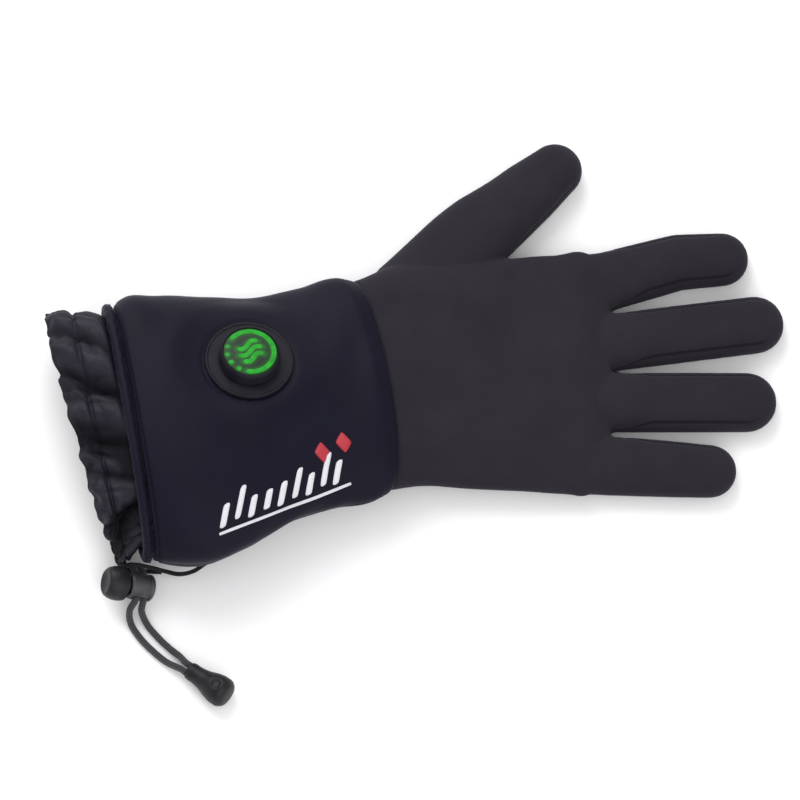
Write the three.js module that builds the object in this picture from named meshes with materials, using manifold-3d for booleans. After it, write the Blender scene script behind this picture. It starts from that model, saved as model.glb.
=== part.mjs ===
// Heated glove for the right hand, lying palm down with its fingers spread.
// A thin stretch knit hand in seven panels is sewn to a thick padded cuff. A rubber
// control with a lit window sits on the back of the cuff, and a gathered nylon gaiter
// with a drawcord, a spring cord lock and a cord end comes out of its open end.
// Millimetres. +X runs to the fingertips, +Y to the thumb side and +Z up from the surface.

import * as THREE from 'three';
import { mergeVertices } from 'three/addons/utils/BufferGeometryUtils.js';
import Module from 'manifold-3d';

const wasm = await Module();
wasm.setup();

// Driving sizes of the hand
const knitWall = 1.5;
const palmLength = 102;
const palmWidth = 110;
const palmThickness = 21;
const palmEndRadius = 9;
const fingerLength = 72;
const fingerWidth = 25;
const fingerThickness = 14.5;
const thumbThickness = 18;
const fingerRootDepth = 34;
const thumbRootDepth = 48;
const backSeamHeight = 11;
const palmSeamHeight = 4;
const crotchMargin = 16;
const fingerCrotchShare = 0.8;
const palmEndDrop = 3;
const palmLeanShare = 0.6;

// Driving sizes of the cuff
const cuffLength = 100;
const cuffWidth = 112;
const cuffThickness = 50;
const cuffWall = 4;
const cuffRise = 24;
const cuffStep = 2;
const cuffCrest = -9;
const cuffCrestLead = 0.15;
const bindingLength = 4.2;
const bindingProud = 0.5;
const mouthSkew = -0.163;
const mouthLean = 0.18;
const seamSkew = -0.183;
const seamLean = 0.55;

// Driving sizes of the gaiter
const gaiterWall = 1.1;
const gaiterReach = 23;
const gaiterTuck = 9;
const gaiterWidth = 102;
const gaiterThickness = 36;
const gaiterSkew = -0.267;
const gaiterHemLength = 8;
const gaiterHemWall = 2;
const gaiterFoldDepth = 7;
const gaiterFoldStart = 0.2;
const gaiterPucker = 3;
const gaiterSlack = 1;
const gaiterNoseDrop = 9;
const gaiterNoseShift = 7;
const gaiterNoseSharp = 6;
const gaiterCornerRise = 8;
const gaiterCornerTurn = 38;
const gaiterCornerSpread = 32;

// Driving sizes of the control
const flangeRadius = 19;
const flangeHeight = 2.4;
const flangeSink = 1.4;
const capRadius = 13;
const capHeight = 6.5;
const windowRadius = 11.6;
const windowThickness = 1;
const windowRecess = 0.4;
const controlShare = 0.46;
const controlAngle = 63.2;

// Driving sizes of the cord lock and the cord end
const cordRadius = 1.5;
const lockRadius = 5.8;
const lockLength = 11;
const lockWall = 1.6;
const lockTilt = 25;
const stemRadius = 3.9;
const lockTravel = 3;
const lockLift = 0.15;
const buttonRadius = 7.3;
const buttonHeight = 7.6;
const cordEndLength = 21;
const cordEndWide = 6.2;
const tapeWidth = 2.4;
const tapeThickness = 0.9;

// Shared values
const gap = 0.3;
const floorSink = 0.1;
const roundness = 2.2;
const cuffSides = 36;
const digitSides = 16;
const palmSides = 24;
const gaiterSides = 64;
const flangeSides = 32;
const capSides = 24;
const lockSides = 20;
const cordSides = 8;
const cordSteps = 14;
const tapeSteps = 30;
const reach = 1000;

// Where the pieces lie before the whole glove is centred
const seamX = -20;
const seamY = -19;
const palmDrift = 10;

// Colours of the materials
const knitColour = 0x2b2a30;
const stripColour = 0x26252b;
const paddedColour = 0x1a1b2b;
const nylonColour = 0x1b1c29;
const rubberColour = 0x1f2026;
const plasticColour = 0x26272c;
const lightColour = 0x3fd05a;

// Sections of the cuff from its open end to the hand seam, each length a share:
// along of cuffLength, rise of cuffRise, width of cuffWidth, thick of cuffThickness
const cuffSections = [
  { along: 0.0, rise: 0.0, width: 1.0, thick: 0.98 },
  { along: 0.07, rise: 0.03, width: 1.05, thick: 1.02 },
  { along: 0.2, rise: 0.08, width: 1.075, thick: 1.04 },
  { along: 0.4, rise: 0.28, width: 1.01, thick: 0.95 },
  { along: 0.6, rise: 0.57, width: 0.91, thick: 0.84 },
  { along: 0.8, rise: 0.81, width: 0.885, thick: 0.76 },
  { along: 0.93, rise: 0.93, width: 0.893, thick: 0.73 },
  { along: 1.0, rise: 1.0, width: 0.86, thick: 0.68 },
];

// Sections of the palm from the hand seam to the knuckles, each length a share:
// along of palmLength, drift of palmDrift, width of palmWidth, thick of palmThickness
const palmSections = [
  { along: 0.22, drift: 0.62, width: 0.9, thick: 1.27 },
  { along: 0.42, drift: 0.8, width: 0.935, thick: 1.13 },
  { along: 0.62, drift: 0.88, width: 0.96, thick: 1.05 },
  { along: 0.82, drift: 0.92, width: 0.985, thick: 0.93 },
  { along: 0.94, drift: 1.0, width: 0.995, thick: 0.82 },
];

// The digits. knuckle is a share of palmLength from the seam, side a share of palmWidth
// from the seam's middle, length a share of fingerLength, root and tip widths shares of
// fingerWidth; turn is the axis at the root and bend what it turns by, in degrees.
const digitRows = [
  { name: 'thumb', knuckle: 0.506, side: 0.69, length: 0.69, root: 1.3, tip: 0.9, turn: 42.4, bend: 0 },
  { name: 'index', knuckle: 1.037, side: 0.478, length: 0.81, root: 1.09, tip: 0.93, turn: 16, bend: -7 },
  { name: 'middle', knuckle: 1.059, side: 0.226, length: 0.997, root: 1.1, tip: 1.0, turn: 7.4, bend: 0 },
  { name: 'ring', knuckle: 1.078, side: -0.027, length: 0.915, root: 1.13, tip: 1.04, turn: 0, bend: 0 },
  { name: 'little', knuckle: 1.059, side: -0.286, length: 0.704, root: 1.08, tip: 0.9, turn: -3.5, bend: 0 },
];

// How much of its full section a digit has where it starts inside the palm
const rootSection = { width: 0.96, open: 0.9 };

// The rounded end of a digit: back is how far before the end, a share of the tip's half
// width, and open is the share of the full section there
const tipSections = [
  { back: 1.0, open: 1.0 },
  { back: 0.62, open: 0.925 },
  { back: 0.3, open: 0.714 },
  { back: 0.09, open: 0.415 },
  { back: 0.0, open: 0.12 },
];

// Folds of the gaiter: at is the angle round it in degrees, depth a share of
// gaiterFoldDepth, spread the half width in degrees, slant the turn along its length
const gaiterFolds = [
  { at: 8, depth: 0.5, spread: 6, slant: 4 },
  { at: 27, depth: 0.8, spread: 6, slant: -6 },
  { at: 45, depth: 0.45, spread: 5, slant: 5 },
  { at: 62, depth: 0.75, spread: 7, slant: -4 },
  { at: 84, depth: 0.5, spread: 6, slant: 6 },
  { at: 104, depth: 1.0, spread: 7, slant: -5 },
  { at: 124, depth: 0.55, spread: 5, slant: 4 },
  { at: 140, depth: 0.85, spread: 6, slant: 6 },
  { at: 158, depth: 0.6, spread: 5, slant: -3 },
  { at: 200, depth: 0.6, spread: 6, slant: 3 },
  { at: 320, depth: 0.5, spread: 7, slant: -3 },
  { at: 344, depth: 0.7, spread: 6, slant: 4 },
];

// Half profile of the lock's button from its flat side: wide a share of buttonRadius and
// along a share of buttonHeight, with a dish in its face
const buttonProfile = [
  { wide: 0.72, along: 0.0 },
  { wide: 0.95, along: 0.24 },
  { wide: 1.0, along: 0.5 },
  { wide: 0.93, along: 0.78 },
  { wide: 0.74, along: 1.0 },
  { wide: 0.4, along: 0.91 },
  { wide: 0.0, along: 0.87 },
];

// Half profile of the cord end from its narrow face: wide a share of cordEndWide and along
// a share of cordEndLength
const cordEndProfile = [
  { wide: 0.61, along: 0.0 },
  { wide: 0.61, along: 0.2 },
  { wide: 0.72, along: 0.42 },
  { wide: 0.94, along: 0.62 },
  { wide: 1.0, along: 0.78 },
  { wide: 0.86, along: 0.93 },
  { wide: 0.5, along: 1.0 },
];

// Cord points, chosen by hand along the two strands from the gaiter to the cord end
const strandPoints = {
  drawcord_front: [
    [-121.6, -116.4, 6.2], [-121.4, -121.0, 2.2], [-117.4, -128.6, 1.7],
    [-112.4, -134.9, 1.7], [-106.4, -140.0, 2.0],
  ],
  drawcord_back: [
    [-116.4, -116.4, 5.6], [-114.4, -121.6, 2.0], [-110.0, -127.8, 1.7],
    [-105.0, -132.8, 1.7], [-100.4, -136.4, 2.2],
  ],
};
const lockPoint = [-112, -106.3];
const cordEndPoint = [-95.2, -142.8];
const strandStart = [-120.4, -96.6];
const cordEndTurn = -35;
const cordEndRise = 8;

// Points along the tape that ties the lock to the cuff: out of the cuff's flank, round both
// strands between the gaiter and the lock, and back
const tapePoints = [
  [-88, -96.6, 12], [-94, -100.2, 10.4], [-100, -101, 9], [-106, -99.6, 8.6],
  [-111.6, -99.0, 11.2], [-119.6, -98.1, 13.0], [-125.6, -97.6, 8.6],
  [-119.8, -97.7, 4.2], [-112.4, -98.6, 5.4], [-107.6, -99.4, 7.2],
];

const degrees = Math.PI / 180;
const strandSpread = cordRadius + gap;
const cordEndNarrow = cordEndWide * cordEndProfile[0].wide;

/** A closed solid for cutting, from a geometry whose shared vertices are merged. */
function toSolid(geometry) {
  const bare = new THREE.BufferGeometry();
  bare.setAttribute('position', geometry.getAttribute('position').clone());
  bare.setIndex(geometry.getIndex());
  const merged = mergeVertices(bare, 1e-4);
  return new wasm.Manifold(new wasm.Mesh({
    numProp: 3,
    vertProperties: new Float32Array(merged.getAttribute('position').array),
    triVerts: new Uint32Array(merged.getIndex().array),
  }));
}

/** The triangles of a solid as a geometry. */
function toGeometry(solid) {
  const mesh = solid.getMesh();
  const geometry = new THREE.BufferGeometry();
  geometry.setAttribute('position', new THREE.BufferAttribute(new Float32Array(mesh.vertProperties), 3));
  geometry.setIndex(new THREE.BufferAttribute(new Uint32Array(mesh.triVerts), 1));
  return geometry;
}

/** Triangles between two rings of the same count that start at two indices. */
function joinRings(indices, first, second, count) {
  for (let i = 0; i < count; i += 1) {
    const next = (i + 1) % count;
    indices.push(first + i, first + next, second + next, first + i, second + next, second + i);
  }
}

/** Indexed geometry from rings of points and triangle indices. */
function ringGeometry(rings, indices) {
  const geometry = new THREE.BufferGeometry();
  const points = rings.flat().flatMap((point) => [point.x, point.y, point.z]);
  geometry.setAttribute('position', new THREE.Float32BufferAttribute(points, 3));
  geometry.setIndex(indices);
  return geometry;
}

/** A closed loft through rings, with a flat fan over each end ring. */
function loft(rings) {
  const count = rings[0].length;
  const indices = [];
  for (let k = 0; k + 1 < rings.length; k += 1) {
    joinRings(indices, k * count, (k + 1) * count, count);
  }
  const last = (rings.length - 1) * count;
  for (let i = 1; i + 1 < count; i += 1) {
    indices.push(0, i + 1, i, last, last + i, last + i + 1);
  }
  return ringGeometry(rings, indices);
}

/** A hollow wall: out along the outer rings, back along the inner ones, open at both ends. */
function sleeve(outer, inner) {
  const count = outer[0].length;
  const rings = [...outer, ...[...inner].reverse()];
  const indices = [];
  for (let k = 0; k < rings.length; k += 1) {
    joinRings(indices, k * count, ((k + 1) % rings.length) * count, count);
  }
  return ringGeometry(rings, indices);
}

/** Signed power that squares an ellipse off a little. */
function soften(value) {
  return Math.sign(value) * Math.abs(value) ** (2 / roundness);
}

/** A value between two rows of a table at a share of the way along it. */
function between(rows, share, column) {
  const after = Math.max(1, rows.findIndex((row) => row.along >= share));
  const low = rows[after - 1];
  const high = rows[after];
  const part = (share - low.along) / (high.along - low.along);
  return low[column] + (high[column] - low[column]) * part;
}

/** The height of a section's middle: a little less than half, so that the floor flattens it. */
function middleHeight(halfHeight) {
  return halfHeight * (1 - floorSink);
}

/**
 * A point on a section across X, at an angle from the thumb side over the back. The section
 * holds its middle, half width, half height, the sideways shift of its crest, its skew (X
 * per mm sideways) and its lean (X per mm up). The floor flattens it.
 */
function sectionPoint(section, angle, inset = 0) {
  const up = soften(Math.sin(angle));
  const across = soften(Math.cos(angle)) * (section.halfWidth - inset);
  const side = across + section.crest * Math.max(0, up);
  const height = Math.max(section.middle + up * (section.halfHeight - inset), inset);
  return new THREE.Vector3(
    section.x + section.skew * side + section.lean * (height - section.middle),
    section.y + side,
    height,
  );
}

/** One ring of a sleeve, moved along X by a shift. */
function crossRing(section, inset, sides, shift = 0) {
  return Array.from({ length: sides }, (_, i) => {
    const point = sectionPoint(section, (2 * Math.PI * i) / sides, inset);
    point.x += shift;
    return point;
  });
}

/** The cuff's section at a share of its length, at any share from 0 to 1. */
function cuffSection(share) {
  const halfHeight = (cuffThickness / 2) * between(cuffSections, share, 'thick');
  return {
    x: seamX - cuffLength * (1 - share),
    y: seamY - cuffRise * (1 - between(cuffSections, share, 'rise')),
    halfWidth: (cuffWidth / 2) * between(cuffSections, share, 'width'),
    halfHeight,
    middle: middleHeight(halfHeight),
    crest: cuffCrest * Math.sin(Math.PI * Math.min(1, share + cuffCrestLead)),
    skew: mouthSkew + (seamSkew - mouthSkew) * share,
    lean: mouthLean + (seamLean - mouthLean) * share,
  };
}

const cuffShares = cuffSections.map((row) => row.along);
const seamSection = cuffSection(1);
const mouthSection = cuffSection(0);

/** The padded cuff, with a shallow seat for the control in its back. */
function makeCuff(seatSolid) {
  const sections = cuffShares.map(cuffSection);
  const wall = sleeve(
    sections.map((section) => crossRing(section, 0, cuffSides)),
    sections.map((section) => crossRing(section, cuffWall, cuffSides)),
  );
  return toGeometry(toSolid(wall).subtract(seatSolid));
}

/** The hem band round the open end of the cuff. */
function makeBinding() {
  const proud = { ...mouthSection };
  proud.halfWidth += bindingProud;
  proud.halfHeight += bindingProud;
  const shifts = [-gap - bindingLength, -gap];
  return sleeve(
    shifts.map((shift) => crossRing(proud, 0, cuffSides, shift)),
    shifts.map((shift) => crossRing(proud, cuffWall + bindingProud, cuffSides, shift)),
  );
}

/** A digit's centre line, its widths and its two seam-side directions. */
function digitFrame(row) {
  const isThumb = row.name === 'thumb';
  const knuckle = new THREE.Vector3(
    seamX + palmLength * row.knuckle,
    seamY + palmWidth * row.side,
    0,
  );
  const direction = (angle) => new THREE.Vector3(Math.cos(angle * degrees), Math.sin(angle * degrees), 0);
  const length = fingerLength * row.length;
  const rootDepth = isThumb ? thumbRootDepth : fingerRootDepth;
  const rootWay = direction(row.turn);
  const tipWay = direction(row.turn + row.bend);
  const half = knuckle.clone().addScaledVector(rootWay, length / 2);
  return {
    name: row.name,
    knuckle,
    rootWay,
    tipWay,
    halfThickness: (isThumb ? thumbThickness : fingerThickness) / 2,
    rootHalf: (fingerWidth * row.root) / 2,
    tipHalf: (fingerWidth * row.tip) / 2,
    root: knuckle.clone().addScaledVector(rootWay, -rootDepth),
    half,
    end: half.clone().addScaledVector(tipWay, length / 2),
  };
}

/** The closed outer or inset form of one digit, from inside the palm to its rounded end. */
function digitForm(digit, inset) {
  const middle = middleHeight(digit.halfThickness);
  const rings = [];
  const addRing = (point, way, halfWidth, open) => {
    const side = new THREE.Vector3(-way.y, way.x, 0);
    const ring = [];
    for (let i = 0; i < digitSides; i += 1) {
      const angle = (2 * Math.PI * i) / digitSides;
      const across = soften(Math.cos(angle)) * Math.max((halfWidth - inset) * open, 0);
      const rise = soften(Math.sin(angle)) * (digit.halfThickness - inset) * open;
      const at = point.clone().addScaledVector(side, across);
      at.z = Math.max(middle + rise, inset);
      ring.push(at);
    }
    rings.push(ring);
  };
  addRing(digit.root, digit.rootWay, digit.rootHalf * rootSection.width, rootSection.open);
  addRing(digit.knuckle, digit.rootWay, digit.rootHalf, 1);
  const bendWay = digit.rootWay.clone().add(digit.tipWay).normalize();
  addRing(digit.half, bendWay, (digit.rootHalf + digit.tipHalf) / 2, 1);
  const end = digit.end.clone().addScaledVector(digit.tipWay, -inset);
  for (const row of tipSections) {
    const point = end.clone().addScaledVector(digit.tipWay, -row.back * (digit.tipHalf - inset));
    addRing(point, digit.tipWay, digit.tipHalf, row.open);
  }
  return toSolid(loft(rings));
}

/** The closed outer or inset form of the palm, from the hand seam to the knuckles. */
function palmForm(inset, lead) {
  const start = {
    ...seamSection,
    halfWidth: seamSection.halfWidth - cuffStep,
    halfHeight: seamSection.halfHeight - cuffStep,
  };
  const rings = [crossRing(start, inset, palmSides, gap - lead)];
  for (const row of palmSections) {
    const halfHeight = (palmThickness / 2) * row.thick;
    const section = {
      x: seamX + palmLength * row.along,
      y: seamY + palmDrift * row.drift,
      halfWidth: (palmWidth / 2) * row.width,
      halfHeight,
      middle: middleHeight(halfHeight),
      crest: 0,
      skew: seamSkew * (1 - row.along),
      lean: seamLean * (1 - row.along) * palmLeanShare,
    };
    rings.push(crossRing(section, inset, palmSides));
  }
  const last = palmSections.at(-1);
  const endHeight = (palmThickness / 2) * last.thick - palmEndDrop;
  const end = {
    x: seamX + palmLength * last.along + palmEndRadius - inset,
    y: seamY + palmDrift,
    halfWidth: (palmWidth / 2) * last.width - palmEndRadius,
    halfHeight: endHeight,
    middle: middleHeight(endHeight),
    crest: 0,
    skew: 0,
    lean: 0,
  };
  rings.push(crossRing(end, inset, palmSides));
  return toSolid(loft(rings));
}

/** A box solid between two heights and over the whole glove. */
function slab(low, high) {
  const box = new THREE.BoxGeometry(reach, reach, high - low);
  box.translate(0, 0, (low + high) / 2);
  return toSolid(box);
}

/**
 * The prism over a side strip: from the middle of one digit to the middle of the next,
 * grown by a clearance, and between two heights.
 */
function stripRegion(upper, lower, clear, low, high) {
  const edge = (digit, shift) => {
    const back = digit.name === 'thumb' ? crotchMargin : crotchMargin * fingerCrotchShare;
    const points = [
      digit.knuckle.clone().addScaledVector(digit.rootWay, -back - clear),
      digit.half.clone(),
      digit.end.clone().addScaledVector(digit.tipWay, fingerWidth),
    ];
    const side = new THREE.Vector3(-digit.rootWay.y, digit.rootWay.x, 0);
    return points.map((point) => point.addScaledVector(side, shift));
  };
  const outline = [...edge(lower, -clear), ...edge(upper, clear).reverse()];
  const shape = new THREE.Shape(outline.map((point) => new THREE.Vector2(point.x, point.y)));
  const prism = new THREE.ExtrudeGeometry(shape, { depth: high - low, bevelEnabled: false });
  prism.translate(0, 0, low);
  return toSolid(prism);
}

/** The knit hand: one hollow form cut along its seams into its panels. */
function makeHand() {
  const digits = digitRows.map(digitFrame);
  const outer = digits.reduce((sum, digit) => sum.add(digitForm(digit, 0)), palmForm(0, 0));
  const inner = digits.reduce(
    (sum, digit) => sum.add(digitForm(digit, knitWall)),
    palmForm(knitWall, knitWall),
  );
  const shell = outer.subtract(inner);
  const panels = {};
  panels.hand_back = shell.intersect(slab(backSeamHeight + gap / 2, reach));
  let palm = shell.intersect(slab(-reach, backSeamHeight - gap / 2));
  for (let i = 0; i + 1 < digits.length; i += 1) {
    const [upper, lower] = [digits[i], digits[i + 1]];
    const low = palmSeamHeight + gap / 2;
    const high = backSeamHeight - gap / 2;
    panels[`side_strip_${upper.name}_${lower.name}`] = shell.intersect(
      stripRegion(upper, lower, -gap / 2, low, high),
    );
    palm = palm.subtract(stripRegion(upper, lower, gap / 2, low - gap, reach));
  }
  panels.hand_palm = palm;
  return panels;
}

const gaiterSpan = gaiterTuck + gaiterReach;
const gaiterTucked = (gaiterTuck + bindingLength + 2 * gap) / gaiterSpan;

/** One ring of the gaiter at a share of its way from inside the cuff to its hem. */
function gaiterRing(share, inset) {
  const free = Math.max(0, (share - gaiterTucked) / (1 - gaiterTucked));
  const blend = (from, to) => from + (to - from) * free;
  const tuckFloor = cuffWall + bindingProud + gap;
  const tuckInset = tuckFloor + gaiterSlack;
  const x = mouthSection.x + gaiterTuck - gaiterSpan * share;
  const halfWidth = blend(mouthSection.halfWidth - tuckInset, gaiterWidth / 2);
  const halfHeight = blend(mouthSection.halfHeight - tuckInset, gaiterThickness / 2);
  const skew = blend(mouthSection.skew, gaiterSkew);
  const lean = blend(mouthSection.lean, 0);
  const crest = blend(mouthSection.crest, 0);
  const middle = middleHeight(blend(mouthSection.halfHeight, gaiterThickness / 2));
  const floor = blend(tuckFloor, 0) + inset;
  const folded = gaiterFoldDepth * Math.min(1, gaiterFoldStart + share);
  const ring = [];
  for (let i = 0; i < gaiterSides; i += 1) {
    const turn = (360 * i) / gaiterSides;
    const dip = gaiterFolds.reduce((sum, fold) => {
      const off = ((turn - fold.at - fold.slant * share + 540) % 360) - 180;
      return sum + fold.depth * Math.exp(-((off / fold.spread) ** 2));
    }, 0);
    const offCorner = ((turn - gaiterCornerTurn + 540) % 360) - 180;
    const corner = gaiterCornerRise * Math.exp(-((offCorner / gaiterCornerSpread) ** 2)) * free;
    const pull = inset + folded * dip - corner;
    const across = soften(Math.cos(turn * degrees));
    const nose = Math.max(0, -across) ** gaiterNoseSharp * free;
    const rise = soften(Math.sin(turn * degrees)) * (halfHeight - pull) - nose * gaiterNoseDrop;
    const y = across * (halfWidth - pull) + crest * Math.max(0, Math.sin(turn * degrees));
    ring.push(new THREE.Vector3(
      x + skew * (y - across * corner) + lean * rise + nose * gaiterNoseShift + dip * gaiterPucker * free,
      mouthSection.y + y,
      Math.max(middle + rise, floor),
    ));
  }
  return ring;
}

/** The gathered nylon gaiter, thicker along its hem where the cord channel is. */
function makeGaiter() {
  const hem = 1 - gaiterHemLength / gaiterSpan;
  const ramp = gaiterHemWall / gaiterSpan;
  const shares = [0, gaiterTucked, hem - ramp, hem, (1 + hem) / 2, 1];
  const wallAt = (share) => (share >= hem ? gaiterHemWall : gaiterWall);
  const outer = shares.map((share) => gaiterRing(share, 0)).reverse();
  const inner = shares.map((share) => gaiterRing(share, wallAt(share))).reverse();
  return sleeve(outer, inner);
}

/** A point on the back of the cuff, and the direction straight out of it. */
function cuffSeat(share, turn) {
  const at = (s, a) => sectionPoint(cuffSection(s), a * degrees);
  const step = 0.04;
  const stepTurn = 6;
  const along = at(share + step, turn).sub(at(share - step, turn));
  const around = at(share, turn + stepTurn).sub(at(share, turn - stepTurn));
  return { point: at(share, turn), out: along.cross(around).negate().normalize() };
}

/** A turned piece from a half profile of [radius, height] points. */
function turned(profile, segments) {
  const points = profile.map(([radius, height]) => new THREE.Vector2(radius, height));
  return new THREE.LatheGeometry(points, segments)
    .rotateX(Math.PI / 2);
}

/** The control's pieces about their own axis, and the seat that the cuff gives them. */
function makeControl() {
  const rim = 0.8;
  const base = turned([
    [0, 0], [flangeRadius, 0], [flangeRadius, flangeHeight - rim],
    [flangeRadius - rim, flangeHeight], [0, flangeHeight],
  ], flangeSides);
  const bottom = flangeHeight + gap;
  const top = bottom + capHeight;
  const recess = top - windowRecess - windowThickness;
  const cap = turned([
    [0, bottom], [capRadius + rim / 2, bottom], [capRadius, top - rim],
    [capRadius - rim, top], [windowRadius + gap, top], [windowRadius + gap, recess],
    [0, recess],
  ], capSides);
  const light = turned([
    [0, recess + gap], [windowRadius, recess + gap], [windowRadius, top - windowRecess],
    [0, top - windowRecess],
  ], capSides);
  const clear = top + gap;
  const seat = turned([
    [0, -gap], [flangeRadius + gap, -gap], [flangeRadius + gap, clear], [0, clear],
  ], flangeSides);
  return { base, cap, light, seat };
}

/** A turned solid about the lock's own axis, its bore or slot cut by the given solids. */
function cutSolid(body, ...cuts) {
  return toGeometry(cuts.reduce((solid, cut) => solid.subtract(toSolid(cut)), toSolid(body)));
}

/** A slot through the lock from side to side, with round ends, for both strands. */
function cordSlot(centre, halfLength, halfHeight) {
  const shape = new THREE.Shape();
  const straight = halfLength - halfHeight;
  shape.absarc(straight, 0, halfHeight, -Math.PI / 2, Math.PI / 2);
  shape.absarc(-straight, 0, halfHeight, Math.PI / 2, (3 * Math.PI) / 2);
  const depth = lockRadius * 4;
  return new THREE.ExtrudeGeometry(shape, { depth, bevelEnabled: false, curveSegments: 5 })
    .translate(0, 0, -depth / 2)
    .rotateY(Math.PI / 2)
    .rotateZ(Math.PI / 2)
    .translate(0, 0, centre);
}

/** The cord lock's barrel and its sprung plunger, both along +Z from the barrel's end. */
function makeLock() {
  const slotHalf = strandSpread + cordRadius + 2 * gap;
  const slotHeight = cordRadius + 2 * gap;
  const slotAt = lockLength - lockWall - slotHalf;
  const chamfer = 0.8;
  const barrel = turned([
    [0, 0], [lockRadius - chamfer, 0], [lockRadius, chamfer], [lockRadius, lockLength - chamfer],
    [lockRadius - chamfer, lockLength], [0, lockLength],
  ], lockSides);
  const past = lockLength + gap;
  const bore = turned([
    [0, lockWall], [stemRadius + gap, lockWall], [stemRadius + gap, past], [0, past],
  ], lockSides);
  const stemEnd = lockWall + gap + lockTravel;
  const headAt = lockLength + gap + lockTravel;
  const plunger = turned([
    [0, stemEnd], [stemRadius, stemEnd], [stemRadius, headAt],
    ...buttonProfile.map((row) => [buttonRadius * row.wide, headAt + buttonHeight * row.along]),
  ], lockSides);
  const plungerSlot = cordSlot(slotAt + lockTravel / 2, slotHalf + lockTravel / 2, slotHeight);
  return {
    body: cutSolid(barrel, bore, cordSlot(slotAt, slotHalf, slotHeight)),
    plunger: cutSolid(plunger, plungerSlot),
    slotAt,
  };
}

/** The bell-shaped cord end along +Z from its narrow face. */
function makeCordEnd() {
  return turned([
    [0, 0],
    ...cordEndProfile.map((row) => [cordEndWide * row.wide, cordEndLength * row.along]),
    [0, cordEndLength],
  ], lockSides);
}

/** A plain tube or flat tape along a smooth curve through points. */
function alongCurve(points, halfWidth, halfHeight, sides, steps) {
  const shape = new THREE.Shape();
  if (sides === 4) {
    shape.moveTo(-halfHeight, -halfWidth);
    shape.lineTo(halfHeight, -halfWidth);
    shape.lineTo(halfHeight, halfWidth);
    shape.lineTo(-halfHeight, halfWidth);
  } else {
    shape.setFromPoints(Array.from({ length: sides }, (_, i) => new THREE.Vector2(
      Math.cos((2 * Math.PI * i) / sides) * halfWidth,
      Math.sin((2 * Math.PI * i) / sides) * halfHeight,
    )));
  }
  const path = new THREE.CatmullRomCurve3(points);
  return new THREE.ExtrudeGeometry(shape, { extrudePath: path, steps, bevelEnabled: false });
}

const colours = {
  knit: new THREE.MeshStandardMaterial({ color: knitColour, roughness: 0.95, metalness: 0 }),
  strip: new THREE.MeshStandardMaterial({ color: stripColour, roughness: 0.95, metalness: 0 }),
  padded: new THREE.MeshStandardMaterial({ color: paddedColour, roughness: 0.85, metalness: 0 }),
  nylon: new THREE.MeshStandardMaterial({ color: nylonColour, roughness: 0.45, metalness: 0 }),
  rubber: new THREE.MeshStandardMaterial({ color: rubberColour, roughness: 0.6, metalness: 0 }),
  plastic: new THREE.MeshStandardMaterial({ color: plasticColour, roughness: 0.5, metalness: 0 }),
  light: new THREE.MeshStandardMaterial({ color: lightColour, roughness: 0.3, metalness: 0 }),
};

const glove = new THREE.Group();

/** Adds one named piece to a group. */
function addPiece(group, name, geometry, material) {
  const mesh = new THREE.Mesh(geometry, material);
  mesh.name = name;
  group.add(mesh);
  return mesh;
}

// The control stands on the back of the cuff and looks straight out of it
const control = makeControl();
const seat = cuffSeat(controlShare, controlAngle);
const controlGroup = new THREE.Group();
controlGroup.quaternion.setFromUnitVectors(new THREE.Vector3(0, 0, 1), seat.out);
controlGroup.position.copy(seat.point).addScaledVector(seat.out, -flangeSink);
controlGroup.updateMatrixWorld(true);
addPiece(controlGroup, 'control_base', control.base, colours.rubber);
addPiece(controlGroup, 'control_cap', control.cap, colours.rubber);
addPiece(controlGroup, 'light_window', control.light, colours.light);
glove.add(controlGroup);

const seatSolid = toSolid(control.seat.clone().applyMatrix4(controlGroup.matrixWorld));
addPiece(glove, 'cuff', makeCuff(seatSolid), colours.padded);
addPiece(glove, 'cuff_binding', makeBinding(), colours.padded);
addPiece(glove, 'gaiter', makeGaiter(), colours.nylon);

for (const [name, solid] of Object.entries(makeHand())) {
  const material = name.startsWith('side_strip') ? colours.strip : colours.knit;
  addPiece(glove, name, toGeometry(solid), material);
}

// The cord pieces lie beside the cuff's open corner
const lock = makeLock();
const cordGroup = new THREE.Group();
const lockGroup = new THREE.Group();
lockGroup.position.set(lockPoint[0], lockPoint[1], lockRadius * Math.cos(lockTilt * degrees) + lockLift);
lockGroup.rotation.set(0, -(90 - lockTilt) * degrees, 0);
addPiece(lockGroup, 'cord_lock_body', lock.body, colours.plastic);
addPiece(lockGroup, 'cord_lock_plunger', lock.plunger, colours.plastic);
lockGroup.updateMatrixWorld(true);
cordGroup.add(lockGroup);

const slotMiddle = new THREE.Vector3(0, 0, lock.slotAt).applyMatrix4(lockGroup.matrixWorld);
const lockAxis = new THREE.Vector3(0, 0, 1).transformDirection(lockGroup.matrixWorld);

const cordEndGroup = new THREE.Group();
const cordEndWay = new THREE.Vector3(
  Math.cos(cordEndTurn * degrees) * Math.cos(cordEndRise * degrees),
  Math.sin(cordEndTurn * degrees) * Math.cos(cordEndRise * degrees),
  Math.sin(cordEndRise * degrees),
);
const cordEndSide = new THREE.Vector3(-cordEndWay.y, cordEndWay.x, 0).normalize();
cordEndGroup.quaternion.setFromUnitVectors(new THREE.Vector3(0, 0, 1), cordEndWay);
cordEndGroup.position.set(cordEndPoint[0], cordEndPoint[1], cordEndNarrow + gap);
addPiece(cordEndGroup, 'cord_end', makeCordEnd(), colours.plastic);
cordGroup.add(cordEndGroup);

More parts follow.
